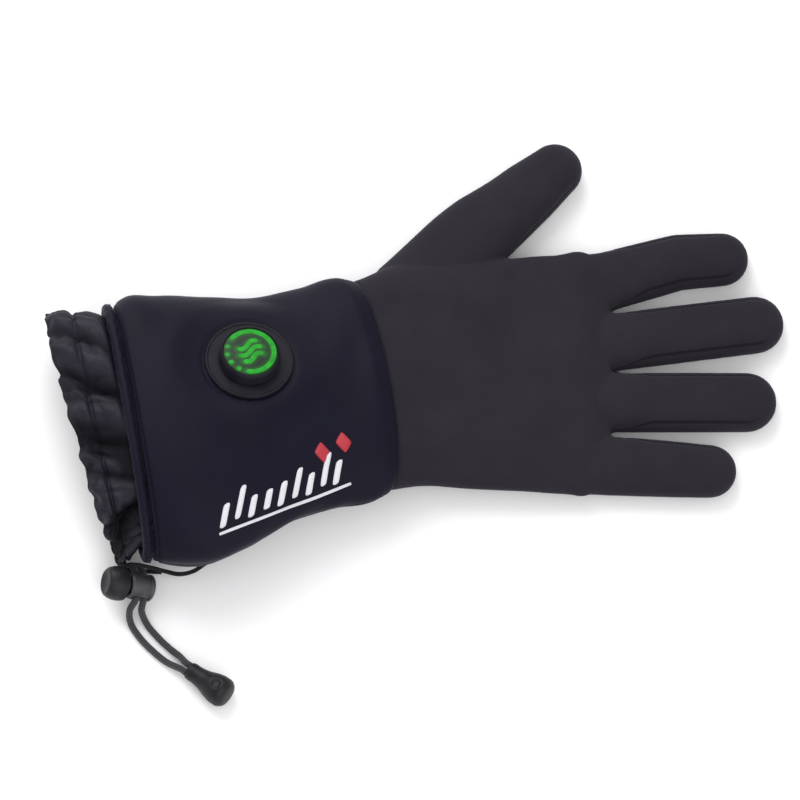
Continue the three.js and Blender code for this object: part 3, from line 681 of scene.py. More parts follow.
def cuff_surface(share, turn):
    """The finished outer face: the plain one with its dents, seams and the control's seat."""
    share, turn = np.broadcast_arrays(share, turn)
    base = cuff_plain(share, turn)
    out = cross_of(cuff_plain, share, turn)
    deep = np.zeros(share.shape)
    for at, centre, depth, spread, wide in CUFF_DENTS:
        deep += depth * bell(share - at, spread) * bell(turn - centre, wide)
    from_mouth = share * CUFF_LENGTH
    deep += 0.7 * bell(from_mouth - stitch_offset(turn), 0.75)
    deep += 0.7 * bell(turn - seam_turn(share), 0.8) * step_up(share * 20 - 2)
    angle = np.radians(turn)
    deep += 0.25 * np.sin(share * 19 + angle * 3) * np.sin(angle * 5 + share * 7)
    rolled = step_up((share - 0.93) / 0.07)
    deep -= 0.5 * bell(share - 0.955, 0.03) * step_up(np.sin(angle) + 0.4)
    points = base - out * (deep * (1 - 0.6 * rolled))[..., None]
    off = points - CONTROL_FOOT
    height = off @ CONTROL_OUT
    flat = off - height[..., None] * CONTROL_OUT
    radius = np.linalg.norm(flat, axis=-1)
    pull = 1 - step_up((radius - FLANGE_RADIUS - 0.5) / 17)
    facing = (out @ CONTROL_OUT) > 0.3
    wanted = height + pull * (0.85 - height) - 0.5 * bell(radius - 20.0, 1.0)
    under = 1 - step_up((radius - FLANGE_RADIUS + 1.1) / 0.9)
    wanted = wanted + under * (-0.35 - wanted)
    move = np.where(facing & (pull > 0), wanted - height, 0.0)
    points = points + CONTROL_OUT * move[..., None]
    points[..., 2] = np.maximum(points[..., 2], 0.0)
    return points


outer_shares = np.concatenate([np.linspace(0.012, 0.07, 16), np.linspace(0.075, 0.93, 118),
                               np.linspace(0.936, 0.988, 12)])
cuff_turns = np.linspace(0, 360, 241)
outer = cuff_surface(outer_shares[:, None], cuff_turns)
inner_shares = np.linspace(0.985, 0.015, 40)
inner = cuff_plain(inner_shares[:, None], cuff_turns, inset=CUFF_WALL)
bend = np.linspace(0, np.pi, 9)[1:-1]
front_out = cuff_surface(np.array([[0.99]]), cuff_turns)[0]
front_in = cuff_plain(np.array([[0.99]]), cuff_turns, inset=2.0)[0]
front_way = unit(front_out - cuff_surface(np.array([[0.95]]), cuff_turns)[0])
front_middle = (front_out + front_in) / 2
front_nose = (front_middle + (front_out - front_middle) * np.cos(bend)[:, None, None]
              + front_way * (2.4 * np.sin(bend))[:, None, None])
mouth_out = cuff_surface(np.array([[0.01]]), cuff_turns)[0]
mouth_in = cuff_plain(np.array([[0.01]]), cuff_turns, inset=CUFF_WALL)[0]
mouth_middle = (mouth_out + mouth_in) / 2
mouth_nose = (mouth_middle + (mouth_in - mouth_middle) * np.cos(bend)[:, None, None]
              + np.array([-1.0, 0, 0]) * (0.9 * np.sin(bend))[:, None, None])
cuff_rings = np.concatenate([outer, front_nose, inner, mouth_nose, outer[:1]])
cuff_rings[..., 2] = np.maximum(cuff_rings[..., 2], 0.0)
walk = walked_along(cuff_rings[:, 60])
cuff_uv = uv_grid(cuff_turns / 360 * 0.3, walk / 1000)
cuff = ring_piece("padded_cuff", cuff_rings, uv=cuff_uv)
padding, *_ = cloth_material(
    "padded_stretch_cloth", (0.0024, 0.0020, 0.0086), (0.0042, 0.0036, 0.0124), 0.56, 0.0007,
    0.5, 0.14, Specular_IOR_Level=0.12, Sheen_Weight=0.17, Sheen_Roughness=0.24,
    Sheen_Tint=(0.58, 0.56, 0.76, 1))
cuff.data.materials.append(padding)
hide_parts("cuff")
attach(cuff, "glove")


# The binding. A folded strip of the cuff's cloth round its open end, topstitched with two
# rows of dark thread.
BINDING_LENGTH = 4.2
profile_turn = np.linspace(0, 2 * np.pi, 25)
binding_x = -0.3 + BINDING_LENGTH / 2 * (soften(np.cos(profile_turn)) - 1)
binding_inset = 1.9 - 2.5 * soften(np.sin(profile_turn))
around = np.linspace(0, 360, 301)
ripple = 0.12 * np.sin(np.radians(around) * 46)
binding_rings = np.stack([
    cuff_plain(np.zeros((1, 1)), around, inset=inset)[0] for inset in binding_inset])
binding_rings[..., 0] += binding_x[:, None] + ripple
binding_rings[..., 2] = np.maximum(binding_rings[..., 2], 0.0)
binding = ring_piece("cuff_edge_binding", binding_rings,
                     uv=uv_grid(around / 360 * 0.3, profile_turn * 0.0025))
binding.data.materials.append(padding)
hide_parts("cuff_binding")
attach(binding, "glove")


def between(at, walked, rows):
    """Rows of three values read at lengths along a path."""
    return np.stack([np.interp(at, walked, rows[:, k]) for k in range(3)], axis=-1)


def stitch_row(name, path, length, gap_length, thick, finish, surface_out):
    """Stitches along a closed path: small bent beads of thread, each half sunk in the cloth.

    A bead is an eight-sided tube whose radius is the square root of a half circle along its
    length. It is copied to even steps along the path by arrays of places and directions,
    and kept above the table.
    """
    walked = walked_along(path)
    count = int(walked[-1] // (length + gap_length))
    starts = np.arange(count) * walked[-1] / count
    along = np.linspace(0, 1, 6)
    at = (starts[:, None] + along * length).ravel() % walked[-1]
    centre = between(at, walked, path)
    centre[:, 2] = np.maximum(centre[:, 2], thick)
    out = unit(between(at, walked, surface_out))
    ahead = between((at + 0.3) % walked[-1], walked, path)
    way = unit(ahead - centre)
    side = np.cross(way, out)
    swell = np.sqrt(np.clip(1 - (2 * along - 1) ** 2, 0.02, 1))
    lift = np.tile(thick * 0.25 * swell, count)
    radius = np.tile(thick / 2 * swell, count)
    angle = np.linspace(0, 2 * np.pi, 9)
    rings = (centre + out * lift[:, None])[:, None] + radius[:, None, None] * (
        np.cos(angle)[None, :, None] * side[:, None] + np.sin(angle)[None, :, None] * out[:, None])
    faces = grid_faces(6, 9)
    faces = (np.arange(count)[:, None, None] * 54 + faces).reshape(-1, 4)
    piece = make_piece(name, rings, faces, merge=0.002)
    piece.data.materials.append(finish)
    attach(piece, "glove")
    return piece


thread, tree, shader = start_material("dark_thread", 0.7, Specular_IOR_Level=0.08)
twist = object_noise(tree, 1500.0, 2.0)
colour_ramp(tree, (twist, "Fac"), (shader, "Base Color"), (0.0040, 0.0036, 0.0075),
            (0.0095, 0.0088, 0.0150))
add_bump(tree, (twist, "Fac"), shader, 0.4, 0.0002)
HEM_STITCH = (2.1, 0.9, 0.42)
fine_turns = np.linspace(0, 360, 721)
hem_share = stitch_offset(fine_turns) / CUFF_LENGTH
hem_path = cuff_surface(hem_share, fine_turns)
hem_out = cross_of(cuff_plain, hem_share, fine_turns)
stitch_row("hem_stitches", hem_path, *HEM_STITCH, thread, hem_out)
edge_path = cuff_plain(np.zeros(len(fine_turns)), fine_turns, inset=-0.35)
edge_path[:, 0] -= 1.2
stitch_row("binding_stitches", edge_path, *HEM_STITCH, thread, hem_out)


# The gaiter. Thin black nylon sewn inside the cuff's open end and gathered by a drawcord in
# the channel along its edge, so that it falls into deep uneven folds.
GAITER_SPAN = 32.0
GAITER_START = 9.0
GAITER_TUCKED = (GAITER_START + BINDING_LENGTH + 0.6) / GAITER_SPAN
GAITER_HEM = 1 - 8 / GAITER_SPAN
GAITER_HALF = (51.5, 18.0)
HEM_LEAN = -0.17
HEM_SKEW = -0.267
HEM_TURNED_IN = 1.5
GAITER_CLEAR = 0.3
UV_ROUND = 0.42
FOLD_POWER = 1.3
MM_PER_DEGREE = 0.78

# degrees round, depth in mm, spread in degrees, slant in degrees along it
GAITER_FOLDS = [
    (6, 3.0, 5, 6), (30, 2.8, 4, -6), (51, 3.6, 5, -9), (65, 2.4, 3, 9), (78, 5.0, 5, -14),
    (98, 8.0, 6, -5), (112, 8.6, 7, 50), (115, 3.6, 4, -4), (128, 3.6, 3.5, 16),
    (141, 3.8, 4, 20), (152, 3.4, 4, 18), (176, 4.0, 5, 6), (200, 4.2, 6, 3), (320, 3.5, 7, -3),
    (344, 4.4, 6, 4),
]


def fold_sum(turn, share, folds):
    """Sum of folds: each a valley exp(-|off/spread|^FOLD_POWER) that slants along the gaiter."""
    total = np.zeros(np.broadcast(turn, share).shape)
    for at, depth, spread, slant in folds:
        off = turned_from(turn, at + slant * share)
        total += depth * np.exp(-np.abs(off / spread) ** FOLD_POWER)
    return total


# small folds have the columns of the large ones; crumples have mm along the gaiter, degrees
# round it, degrees that they lean, then depth, width and length in mm
chance = np.random.default_rng(11)
SMALL_COUNT = 58
small_at = np.linspace(0, 360, SMALL_COUNT, endpoint=False) + chance.uniform(-3, 3, SMALL_COUNT)
SMALL_FOLDS = list(zip(small_at, *(
    chance.uniform(*span, SMALL_COUNT) for span in ((0.35, 1.5), (1.1, 2.4), (-7, 7)))))
CRUMPLES = np.column_stack([chance.uniform(*span, 90) for span in (
    (13, 33), (0, 360), (-75, 75), (0.4, 1.4), (0.9, 1.9), (4, 10))])


def crumple_depth(share, turn):
    """Short creases at odd angles: each a narrow bell across its line and a long one along."""
    total = np.zeros(np.broadcast(share, turn).shape)
    for at, angle, lean, depth, width, length in CRUMPLES:
        along = share * GAITER_SPAN - at
        around = turned_from(turn, angle) * MM_PER_DEGREE
        turned_by = math.radians(lean)
        line = along * math.cos(turned_by) + around * math.sin(turned_by)
        side = around * math.cos(turned_by) - along * math.sin(turned_by)
        total += depth * np.exp(-np.abs(side / width) ** 1.2) * bell(line, length)
    return total


def gaiter_surface(share, turn, sink=0.0):
    """The gaiter's outer face from inside the cuff, at share 0, to its hem, at 1.

    It keeps the mouth's oval until it is past the binding and then blends to a smaller one.
    Large folds pull it in, small ones wrinkle it near the channel and the hem, and the
    little finger's corner droops into the nose where the cords come out.
    """
    share, turn = np.broadcast_arrays(share, turn)
    free = np.clip((share - GAITER_TUCKED) / (1 - GAITER_TUCKED), 0, 1)
    mouth_half = (CUFF_HALF[0], CUFF_HALF[1] * 0.98)
    tuck = CUFF_WALL + 1.8
    swell = flank_swell(0.0, turn) * (1 - free)
    half_width, half_height = (
        mouth - tuck + (hem - mouth + tuck) * free + swell
        for mouth, hem in zip(mouth_half, GAITER_HALF))
    skew = MOUTH_SKEW + (HEM_SKEW - MOUTH_SKEW) * free
    lean = MOUTH_LEAN * (1 - free) + HEM_LEAN * free
    crest = -CREST * np.sin(np.pi * 0.15) * (1 - free)
    middle = SUNK * (mouth_half[1] + (GAITER_HALF[1] - mouth_half[1]) * free)
    floor = 4.8 * (1 - free)
    hemmed = 1 - 0.5 * step_up((share - 0.72) / 0.26)
    large = fold_sum(turn, share, GAITER_FOLDS) * np.minimum(1, 0.35 + share) * hemmed
    hem_near = bell(share - GAITER_HEM, 0.09)
    small = fold_sum(turn, share, SMALL_FOLDS) * step_up(free * 3)
    small = small * (0.50 + 0.50 * hem_near + 0.15 * step_up((share - 0.9) * 8))
    channel = 1.2 * bell(share - GAITER_HEM, 0.022)
    belly = -1.3 * np.sin(np.pi * np.clip((share - GAITER_HEM) / (1 - GAITER_HEM), 0, 1))
    angle = np.radians(turn)
    cross_fold = (0.9 * np.sin(angle * 17 + share * 21) * np.sin(angle * 5 - share * 9)
                  + 0.55 * np.sin(angle * 29 - share * 26 + 2 * np.sin(angle * 3)) * np.sin(
                      angle * 8 + share * 15)) * free
    at_corner = bell(turned_from(turn, 34), 36)
    corner = -13.0 * at_corner * np.sqrt(free) * (1 - 0.38 * free**2)
    crumple = crumple_depth(share, turn) * step_up(free * 3) * (1 - 0.5 * hem_near)
    pull = large + small + channel + belly + cross_fold * (1 - hem_near) + corner + crumple + sink
    across = soften(np.cos(angle))
    little_side = np.maximum(0, -across) ** 6
    nose = little_side * free
    rise = soften(np.sin(angle)) * (half_height - pull) - nose * 9
    side = across * (half_width - pull) + crest * np.maximum(0, np.sin(angle)) - nose * 3.2
    side = side - 2.4 * little_side * np.sin(np.pi * free)
    x = SEAM_MIDDLE[0] - CUFF_LENGTH + GAITER_START - GAITER_SPAN * share
    x = x + skew * (side + across * corner) + lean * rise + large / 7 * 1.5 * free + nose * 0.4
    notch = 0.6 + 0.4 * np.sin(angle * 23 + 1) + 0.3 * np.sin(angle * 41)
    x = x + notch * step_up((share - 0.8) * 5) - 0.9 * at_corner * free
    height = np.maximum(middle + rise, floor + GAITER_CLEAR)
    return np.stack([x, SEAM_MIDDLE[1] - CUFF_RISE + side, height], axis=-1)


gaiter_turns = np.linspace(0, 360, 601)
gaiter_shares = np.concatenate([np.linspace(0, GAITER_TUCKED, 8, endpoint=False),
                                np.linspace(GAITER_TUCKED, 1, 46)])
gaiter_rings = gaiter_surface(gaiter_shares[:, None], gaiter_turns)
lip_turn = np.linspace(0, np.pi, 5)[1:]
lip = gaiter_surface(np.ones((1, 1)), gaiter_turns)
lip_in = gaiter_surface(np.ones((1, 1)), gaiter_turns, sink=HEM_TURNED_IN)
lip_rings = (lip + lip_in) / 2 + (lip - lip_in) / 2 * np.cos(lip_turn)[:, None, None]
lip_rings[..., 0] -= (0.8 * np.sin(lip_turn))[:, None]
back_shares = np.linspace(0.985, GAITER_HEM, 6)
back_rings = gaiter_surface(back_shares[:, None], gaiter_turns, sink=HEM_TURNED_IN)
gaiter_all = np.concatenate([gaiter_rings, lip_rings, back_rings])
gaiter_all[..., 2] = np.maximum(gaiter_all[..., 2], GAITER_CLEAR)
lip_walk = GAITER_SPAN + np.arange(1, 5) * 0.6
walk = np.concatenate([gaiter_shares * GAITER_SPAN, lip_walk,
                       lip_walk[-1] + (back_shares[0] - back_shares) * GAITER_SPAN]) / 1000
gaiter = make_piece("nylon_gaiter", gaiter_all, grid_faces(*gaiter_all.shape[:2]),
                    uv=uv_grid(gaiter_turns / 360 * UV_ROUND, walk), merge=0.002)
modified_mesh(gaiter, ("SOLIDIFY", {"thickness": 0.0003, "offset": -1.0}))


def weave_material(name, dark, light, painted_fold_shade, roughness, pitch, relief, **fixed):
    """Plain woven cloth on the piece's own UV map, in metres: crossing waves as its bump.

    A point attribute of the piece, 0 to 1, paints shade into its deep folds: it mixes the
    colour towards the dark one given for that shade and dulls it.
    """
    material, tree, shader = start_material(name, roughness, **fixed)
    place = add_node(tree, "UVMap")
    _, weave = crossed_waves(tree, (place, "UV"), in_Scale=WAVE_SCALE / pitch, in_Distortion=0.3)
    crush = object_noise(tree, 240.0, 4.0, in_Distortion=0.8)
    folded = add_node(tree, "Attribute", attribute_name="painted_fold_shade")
    shade = add_node(tree, "Mix", data_type="RGBA", in_7=(*painted_fold_shade, 1))
    link(tree, (folded, "Fac"), (shade, 0))
    colour_ramp(tree, (crush, "Fac"), (shade, 6), dark, light, 0.3, 0.7)
    link(tree, (shade, 2), (shader, "Base Color"))
    dull = map_range(tree, (folded, "Fac"), (0.0, 1.0, roughness, 0.95))
    link(tree, (dull, "Result"), (shader, "Roughness"))
    crumple = add_bump(tree, (crush, "Fac"), shader, 0.35, 0.0012)
    add_bump(tree, (weave, 0), shader, relief, 0.00015, under=crumple)
    return material


# Painted shade for the gaiter: how deep each point lies in the large and small folds and the
# crumples, plus a painted dark patch low near the binding, goes into an attribute that darkens the
# nylon's colour there.
corner_uv = np.empty(len(gaiter.data.loops) * 2)
gaiter.data.uv_layers["UVMap"].data.foreach_get("uv", corner_uv)
corner_turn = corner_uv[0::2] / UV_ROUND * 360
corner_share = np.minimum(corner_uv[1::2] * 1000 / GAITER_SPAN, 1.0)
low_painted_shade = bell(corner_turn - 103, 9) * bell(corner_share - 0.47, 0.12)
depth = (fold_sum(corner_turn, corner_share, GAITER_FOLDS) / 6
         + fold_sum(corner_turn, corner_share, SMALL_FOLDS) * 0.25
         + crumple_depth(corner_share, corner_turn) * 0.16 + low_painted_shade)
painted_fold_shade = gaiter.data.attributes.new("painted_fold_shade", "FLOAT", "CORNER")
painted_fold_shade.data.foreach_set("value", step_up(depth * 0.95 - 0.1).astype(np.float32))
# the third colour is the painted shade of the deepest folds
nylon = weave_material("black_nylon", (0.0052, 0.0047, 0.0110), (0.0110, 0.0100, 0.0200),
                       (0.0018, 0.0015, 0.0042), 0.5, 0.00045, 0.3, Specular_IOR_Level=0.24,
                       Sheen_Weight=0.03, Sheen_Roughness=0.35)
gaiter.data.materials.append(nylon)
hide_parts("gaiter")
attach(gaiter, "glove")
channel_share = np.full(len(fine_turns), GAITER_HEM)
channel_path = gaiter_surface(channel_share, fine_turns)
channel_out = cross_of(gaiter_surface, channel_share, fine_turns)
stitch_row("channel_stitches", channel_path, 1.7, 0.9, 0.4, thread, channel_out)


# The control. A round rubber flange moulded in one with a raised cap; a dark window in the
# cap's top shows a green ring with four dots and three rising waves of heat.
def turned(profile, sides, foot, out, right):
    """Rings of a turned form: radius and height pairs carried round an axis from its foot."""
    angle = np.linspace(0, 2 * np.pi, sides + 1)
    up = np.cross(out, right)
    spokes = np.cos(angle)[:, None] * right + np.sin(angle)[:, None] * up
    radius, height = np.asarray(profile, dtype=float).T
    return foot + radius[:, None, None] * spokes + height[:, None, None] * out


def rounded(corners, radius, steps=5):
    """A half profile whose corners are rounded by arcs of quadratic curves."""
    corners = np.asarray(corners, dtype=float)
    made = [corners[:1]]
    share = np.linspace(0, 1, steps)[:, None]
    for before, corner, after in zip(corners[:-2], corners[1:-1], corners[2:]):
        reach_in = min(radius, np.linalg.norm(corner - before) * 0.45)
        reach_out = min(radius, np.linalg.norm(after - corner) * 0.45)
        start = corner + (before - corner) / np.linalg.norm(before - corner) * reach_in
        end = corner + (after - corner) / np.linalg.norm(after - corner) * reach_out
        made.append((1 - share) ** 2 * start + 2 * share * (1 - share) * corner + share**2 * end)
    return np.concatenate([*made, corners[-1:]])


CONTROL_AXES = (CONTROL_FOOT, CONTROL_OUT, CONTROL_RIGHT)
flange_profile = rounded([
    (0, 0), (18.9, 0), (19.1, 1.3), (18.8, 2.3), (18.1, 2.35), (17.7, 1.95), (14.6, 2.1),
    (0, 2.2),
], 0.35)
flange = ring_piece("control_flange", turned(flange_profile, 96, *CONTROL_AXES))
cap_profile = rounded([
    (0, 2.7), (13.4, 2.7), (13.25, 4.2), (13.0, 7.6), (12.2, 9.2), (11.9, 9.1), (11.9, 7.8),
    (0, 7.8),
], 0.7)
cap = ring_piece("control_button_cap", turned(cap_profile, 96, *CONTROL_AXES))


def grain_group():
    """Fine moulded grain in Object coordinates: Height for a bump and Dust for lighter specks."""
    group, given, result = new_group("moulded_grain", [("Size", 900.0)], ["Height", "Dust"])
    place = add_node(group, "TexCoord")
    cells = add_node(group, "TexVoronoi", feature="SMOOTH_F1")
    link(group, (place, "Object"), (cells, "Vector"))
    link(group, (given, "Size"), (cells, "Scale"))
    noise = object_noise(group, 160.0, 6.0)
    link(group, (cells, "Distance"), (result, "Height"))
    link(group, (noise, "Fac"), (result, "Dust"))
    return group


MOULDED_GRAIN = grain_group()


def moulded_material(name, dark, light, rough_low, rough_high, relief, size, **fixed):
    """Moulded rubber or plastic: grain as a bump, dust that lightens and dulls it."""
    material, tree, shader = start_material(name, rough_low, **fixed)
    grain = add_node(tree, "Group")
    grain.node_tree = MOULDED_GRAIN
    grain.inputs["Size"].default_value = size
    colour_ramp(tree, (grain, "Dust"), (shader, "Base Color"), dark, light, 0.35, 0.7)
    dull = map_range(tree, (grain, "Dust"), (0.0, 1.0, rough_low, rough_high))
    link(tree, (dull, "Result"), (shader, "Roughness"))
    add_bump(tree, (grain, "Height"), shader, relief, 0.0001)
    return material


rubber = moulded_material("matte_rubber", (0.0056, 0.0056, 0.0098), (0.0102, 0.0102, 0.0160),
                          0.5, 0.7, 0.25, 2200.0, Specular_IOR_Level=0.18)
for piece, node in ((flange, "control_base"), (cap, "control_cap")):
    piece.data.materials.append(rubber)
    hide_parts(node)
    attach(piece, "glove")

RING_RADIUS = 10.1
RING_STROKE = 2.1
WAVE_STROKE = 2.15
WINDOW_TOP = 8.8
WINDOW_RADIUS = 11.6
WINDOW_CROWN = 0.45
LIT_FOOT = 0.05
LIT_RISE = 0.12


def on_circle(angle):
    """Pairs on a circle of radius 1 at angles in radians."""
    return np.stack([np.cos(angle), np.sin(angle)], axis=-1)


ring_line = RING_RADIUS * on_circle(np.radians(np.linspace(147, -100, 80)))
dots = RING_RADIUS * on_circle(np.radians([169, 192, 216, 241]))
along_wave = np.linspace(-1, 1, 40)
wave_way = on_circle(math.radians(24))
wave_side = np.array([-wave_way[1], wave_way[0]])

# shift across and half length of the three waves, in mm
wave_lines = [
    along_wave[:, None] * reach * wave_way
    + (shift + 1.25 * np.sin(along_wave * np.pi * 0.95))[:, None] * wave_side
    for shift, reach in ((3.3, 4.8), (0.0, 5.6), (-3.3, 4.8))
]


def on_window(flat, lift):
    """Points of the window's slightly crowned top from pairs in its own plane."""
    crown = WINDOW_CROWN * (1 - (np.linalg.norm(flat, axis=-1) / WINDOW_RADIUS) ** 2)
    return (CONTROL_FOOT + flat[..., :1] * CONTROL_RIGHT + flat[..., 1:] * CONTROL_UP
            + (WINDOW_TOP + crown + lift)[..., None] * CONTROL_OUT)


def lit_stroke(line, stroke):
    """A raised stroke along a flat line: a low arch across it, round at both ends."""
    way = unit(np.gradient(line, axis=0))
    side = np.stack([-way[:, 1], way[:, 0]], axis=-1)
    walked = walked_along(line)
    near_end = np.minimum(walked, walked[-1] - walked) / (stroke / 2)
    width = stroke / 2 * np.sqrt(np.clip(1 - (1 - np.clip(near_end, 0, 1)) ** 2, 0.01, 1))
    across = np.linspace(-1, 1, 7)
    flat = line[:, None] + side[:, None] * (width[:, None] * across)[..., None]
    lift = LIT_FOOT + LIT_RISE * (1 - across**2) * np.ones(len(line))[:, None]
    return on_window(flat, lift).reshape(-1, 3), grid_faces(*lift.shape)


def lit_dot(centre, radius):
    """A raised round dot on the ring's circle: rings of a low dome."""
    turn = np.linspace(0, 2 * np.pi, 21)
    size = np.linspace(0.02, 1, 5)
    flat = centre + radius * size[:, None, None] * on_circle(turn)
    lift = LIT_FOOT + LIT_RISE * (1 - size**2)[:, None] * np.ones(len(turn))
    return on_window(flat, lift).reshape(-1, 3), grid_faces(*lift.shape)


parts = [lit_stroke(ring_line, RING_STROKE)]
parts += [lit_stroke(line, WAVE_STROKE) for line in wave_lines]
parts += [lit_dot(dot, size) for dot, size in zip(dots, (0.95, 1.0, 1.05, 1.1))]
lit_points, lit_faces, count = [], [], 0
for some_points, some_faces in parts:
    lit_points.append(some_points)
    lit_faces.append(some_faces + count)
    count += len(some_points)
symbols = make_piece("lit_symbols", np.concatenate(lit_points), np.concatenate(lit_faces),
                     merge=0.002, outward=False)
glow, tree, shader = start_material("green_light", 0.5, Specular_IOR_Level=0.12)
uneven = object_noise(tree, 420.0, 2.0)
colour_ramp(tree, (uneven, "Fac"), (shader, "Emission Color"), (0.006, 0.28, 0.008),
            (0.016, 0.58, 0.020), 0.3, 0.75)
shader.inputs["Base Color"].default_value = (0.012, 0.06, 0.014, 1)
shader.inputs["Emission Strength"].default_value = 0.75
symbols.data.materials.append(glow)
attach(symbols, "glove")

window_radii = np.concatenate([[0.0], np.linspace(0.3, 11.2, 44),
                               [11.55, WINDOW_RADIUS, WINDOW_RADIUS, 0.0]])
window_crown = WINDOW_CROWN * (1 - (window_radii[:-3] / WINDOW_RADIUS) ** 2)
window_heights = np.concatenate([WINDOW_TOP + window_crown, [WINDOW_TOP - 0.15, 8.15, 8.15]])
window = ring_piece("control_window", turned(
    np.column_stack([window_radii, window_heights]), 128, *CONTROL_AXES))
points, _ = table_points(window)
off = points - CONTROL_FOOT
flat = np.stack([off @ CONTROL_RIGHT, off @ CONTROL_UP], axis=-1)
strokes = np.concatenate([ring_line, *wave_lines, dots])
nearest = np.linalg.norm(flat[:, None] - strokes[None], axis=-1).min(axis=1)
# Painted glow: emission on the dark window, strongest next to the lit strokes and dots, a green
# halo of light painted round them.
halo = window.data.attributes.new("halo", "FLOAT", "POINT")
halo.data.foreach_set("value", bell(nearest, 1.7).astype(np.float32))
glass, tree, shader = start_material("dark_window", 0.42, Specular_IOR_Level=0.18)
nearness = add_node(tree, "Attribute", attribute_name="halo")
colour_ramp(tree, (nearness, "Fac"), (shader, "Emission Color"), (0.0005, 0.012, 0.001),
            (0.003, 0.20, 0.004))
shader.inputs["Emission Strength"].default_value = 0.7
speckle = object_noise(tree, 900.0, 3.0)
colour_ramp(tree, (speckle, "Fac"), (shader, "Base Color"), (0.007, 0.010, 0.008),
            (0.013, 0.017, 0.014))
window.data.materials.append(glass)
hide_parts("light_window")
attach(window, "glove")


# The embroidery. Raised satin stitching on the cuff's back: a rising row of slanted white
# bars over a thin line, and two small red lozenges above its high end.
PICTURE_CENTRE = (412.5, 360.0)


def picture_point(points):
    """Where table points show in the picture, in pixels, seen from 70 degrees up."""
    level = points[..., 1] * 0.9397 + points[..., 2] * 0.3420
    return np.stack([points[..., 0] / PIXEL + PICTURE_CENTRE[0],
                     PICTURE_CENTRE[1] - level / PIXEL], axis=-1)


def on_cuff(wanted):
    """Share and angle on the cuff's back of pixels of the picture, by Newton's method."""
    share = np.full(wanted.shape[:-1], 0.5)
    turn = np.full(wanted.shape[:-1], 120.0)
    share_step, turn_step = 0.002, 0.2
    for _ in range(12):
        here = picture_point(cuff_plain(share, turn))
        by_share = (picture_point(cuff_plain(share + share_step, turn)) - here) / share_step
        by_turn = (picture_point(cuff_plain(share, turn + turn_step)) - here) / turn_step
        miss = wanted - here
        area = by_share[..., 0] * by_turn[..., 1] - by_share[..., 1] * by_turn[..., 0]
        share = share + (miss[..., 0] * by_turn[..., 1] - miss[..., 1] * by_turn[..., 0]) / area
        turn = turn + (by_share[..., 0] * miss[..., 1] - by_share[..., 1] * miss[..., 0]) / area
        share = np.clip(share, 0.02, 0.97)
        turn = np.clip(turn, 20, 175)
    return share, turn


ROW_START = np.array([220.0, 529.0])
ROW_WAY = on_circle(math.radians(-21))
ROW_UP = np.array([ROW_WAY[1], -ROW_WAY[0]])
BAR_SLANT = 0.62
THREAD_GAP = 0.4
EDGE_SUNK = -0.2

# along the row, foot and head of each bar above it, width, all in pixels
WHITE_BARS = [
    (4, 0, 22, 7.5), (19, 3, 33, 7), (34, 0, 20, 7.5), (50, 2, 20, 7.5), (65, 0, 22, 7.5),
    (80, 2, 29, 7), (95, 0, 20, 7.5), (110, 3, 33, 7), (124, 0, 22, 7.5),
]

# middle, width and height of each lozenge, and start and length of the line under the bars
RED_LOZENGES = [(323.0, 452.0, 15.0, 20.0), (344.0, 442.0, 15.0, 20.0)]
LINE_START = -2
LINE_LENGTH = 142


def satin_patch(outline, threads):
    """A crowned patch on the cuff from a grid of pixels, with UV for its threads."""
    share, turn = on_cuff(outline)
    rows, columns = share.shape
    across = np.linspace(-1, 1, columns)
    ends = np.linspace(-1, 1, rows)
    fade = np.clip((1 - np.abs(ends[:, None])) * 6, 0.15, 1)
    lift = 0.15 + 0.6 * np.sqrt(np.clip(1 - across**2, 0, 1)) * fade
    lift[[0, -1]] = EDGE_SUNK
    lift[:, [0, -1]] = EDGE_SUNK
    points = cuff_surface(share, turn) + cross_of(cuff_plain, share, turn) * lift[..., None]
    uv = uv_grid(across * 0.5, ends * threads / 2)
    return points.reshape(-1, 3), uv.reshape(-1, 2), grid_faces(rows, columns)


def join_patches(name, patches):
    """One piece from a list of patches with their UV."""
    sizes = np.cumsum([0] + [len(points) for points, _, _ in patches])
    points = np.concatenate([points for points, _, _ in patches])
    uv = np.concatenate([pairs for _, pairs, _ in patches])
    faces = np.concatenate([corners + start for (_, _, corners), start in zip(patches, sizes)])
    piece = make_piece(name, points, faces, uv=uv, outward=False)
    up = sum(face.normal.z for face in piece.data.polygons)
    if up < 0:
        piece.data.flip_normals()
    return piece


def bar_outline(at, foot, head, width):
    """A slanted bar with softly rounded ends, as a grid of pixels."""
    rise = np.linspace(0, 1, 26)[:, None]
    across = np.linspace(-1, 1, 9)
    rounding = np.clip(1 - np.abs(2 * rise - 1) ** 10, 0.08, 1) ** 0.5
    up = foot + (head - foot) * rise
    along = at + BAR_SLANT * up + across * width / 2 * rounding
    return ROW_START + along[..., None] * ROW_WAY + up[..., None] * ROW_UP


def lozenge_outline(x, y, width, height):
    """A lozenge with soft corners, standing on its point, as a grid of pixels."""
    rise = np.linspace(-1, 1, 22)[:, None]
    across = np.linspace(-1, 1, 9)
    half = width / 2 * (1 - np.abs(rise) ** 1.3) + 0.6
    up = y + rise * height / 2 + across * 0
    return np.stack([x + across * half + 0.2 * (up - y), up], axis=-1)


def satin_material(name, dark, light):
    """Satin stitch: shiny parallel threads, as waves along the patch's own UV."""
    material, tree, shader = start_material(name, 0.42, Specular_IOR_Level=0.4,
                                            Sheen_Weight=0.15)
    place = add_node(tree, "UVMap")
    threads = add_node(tree, "TexWave", wave_type="BANDS", bands_direction="Y",
                       in_Scale=WAVE_SCALE, in_Distortion=1.2)
    link(tree, (place, "UV"), (threads, "Vector"))
    colour_ramp(tree, (threads, "Fac"), (shader, "Base Color"), dark, light, 0.15, 0.6)
    add_bump(tree, (threads, "Fac"), shader, 0.5, 0.00025)
    return material


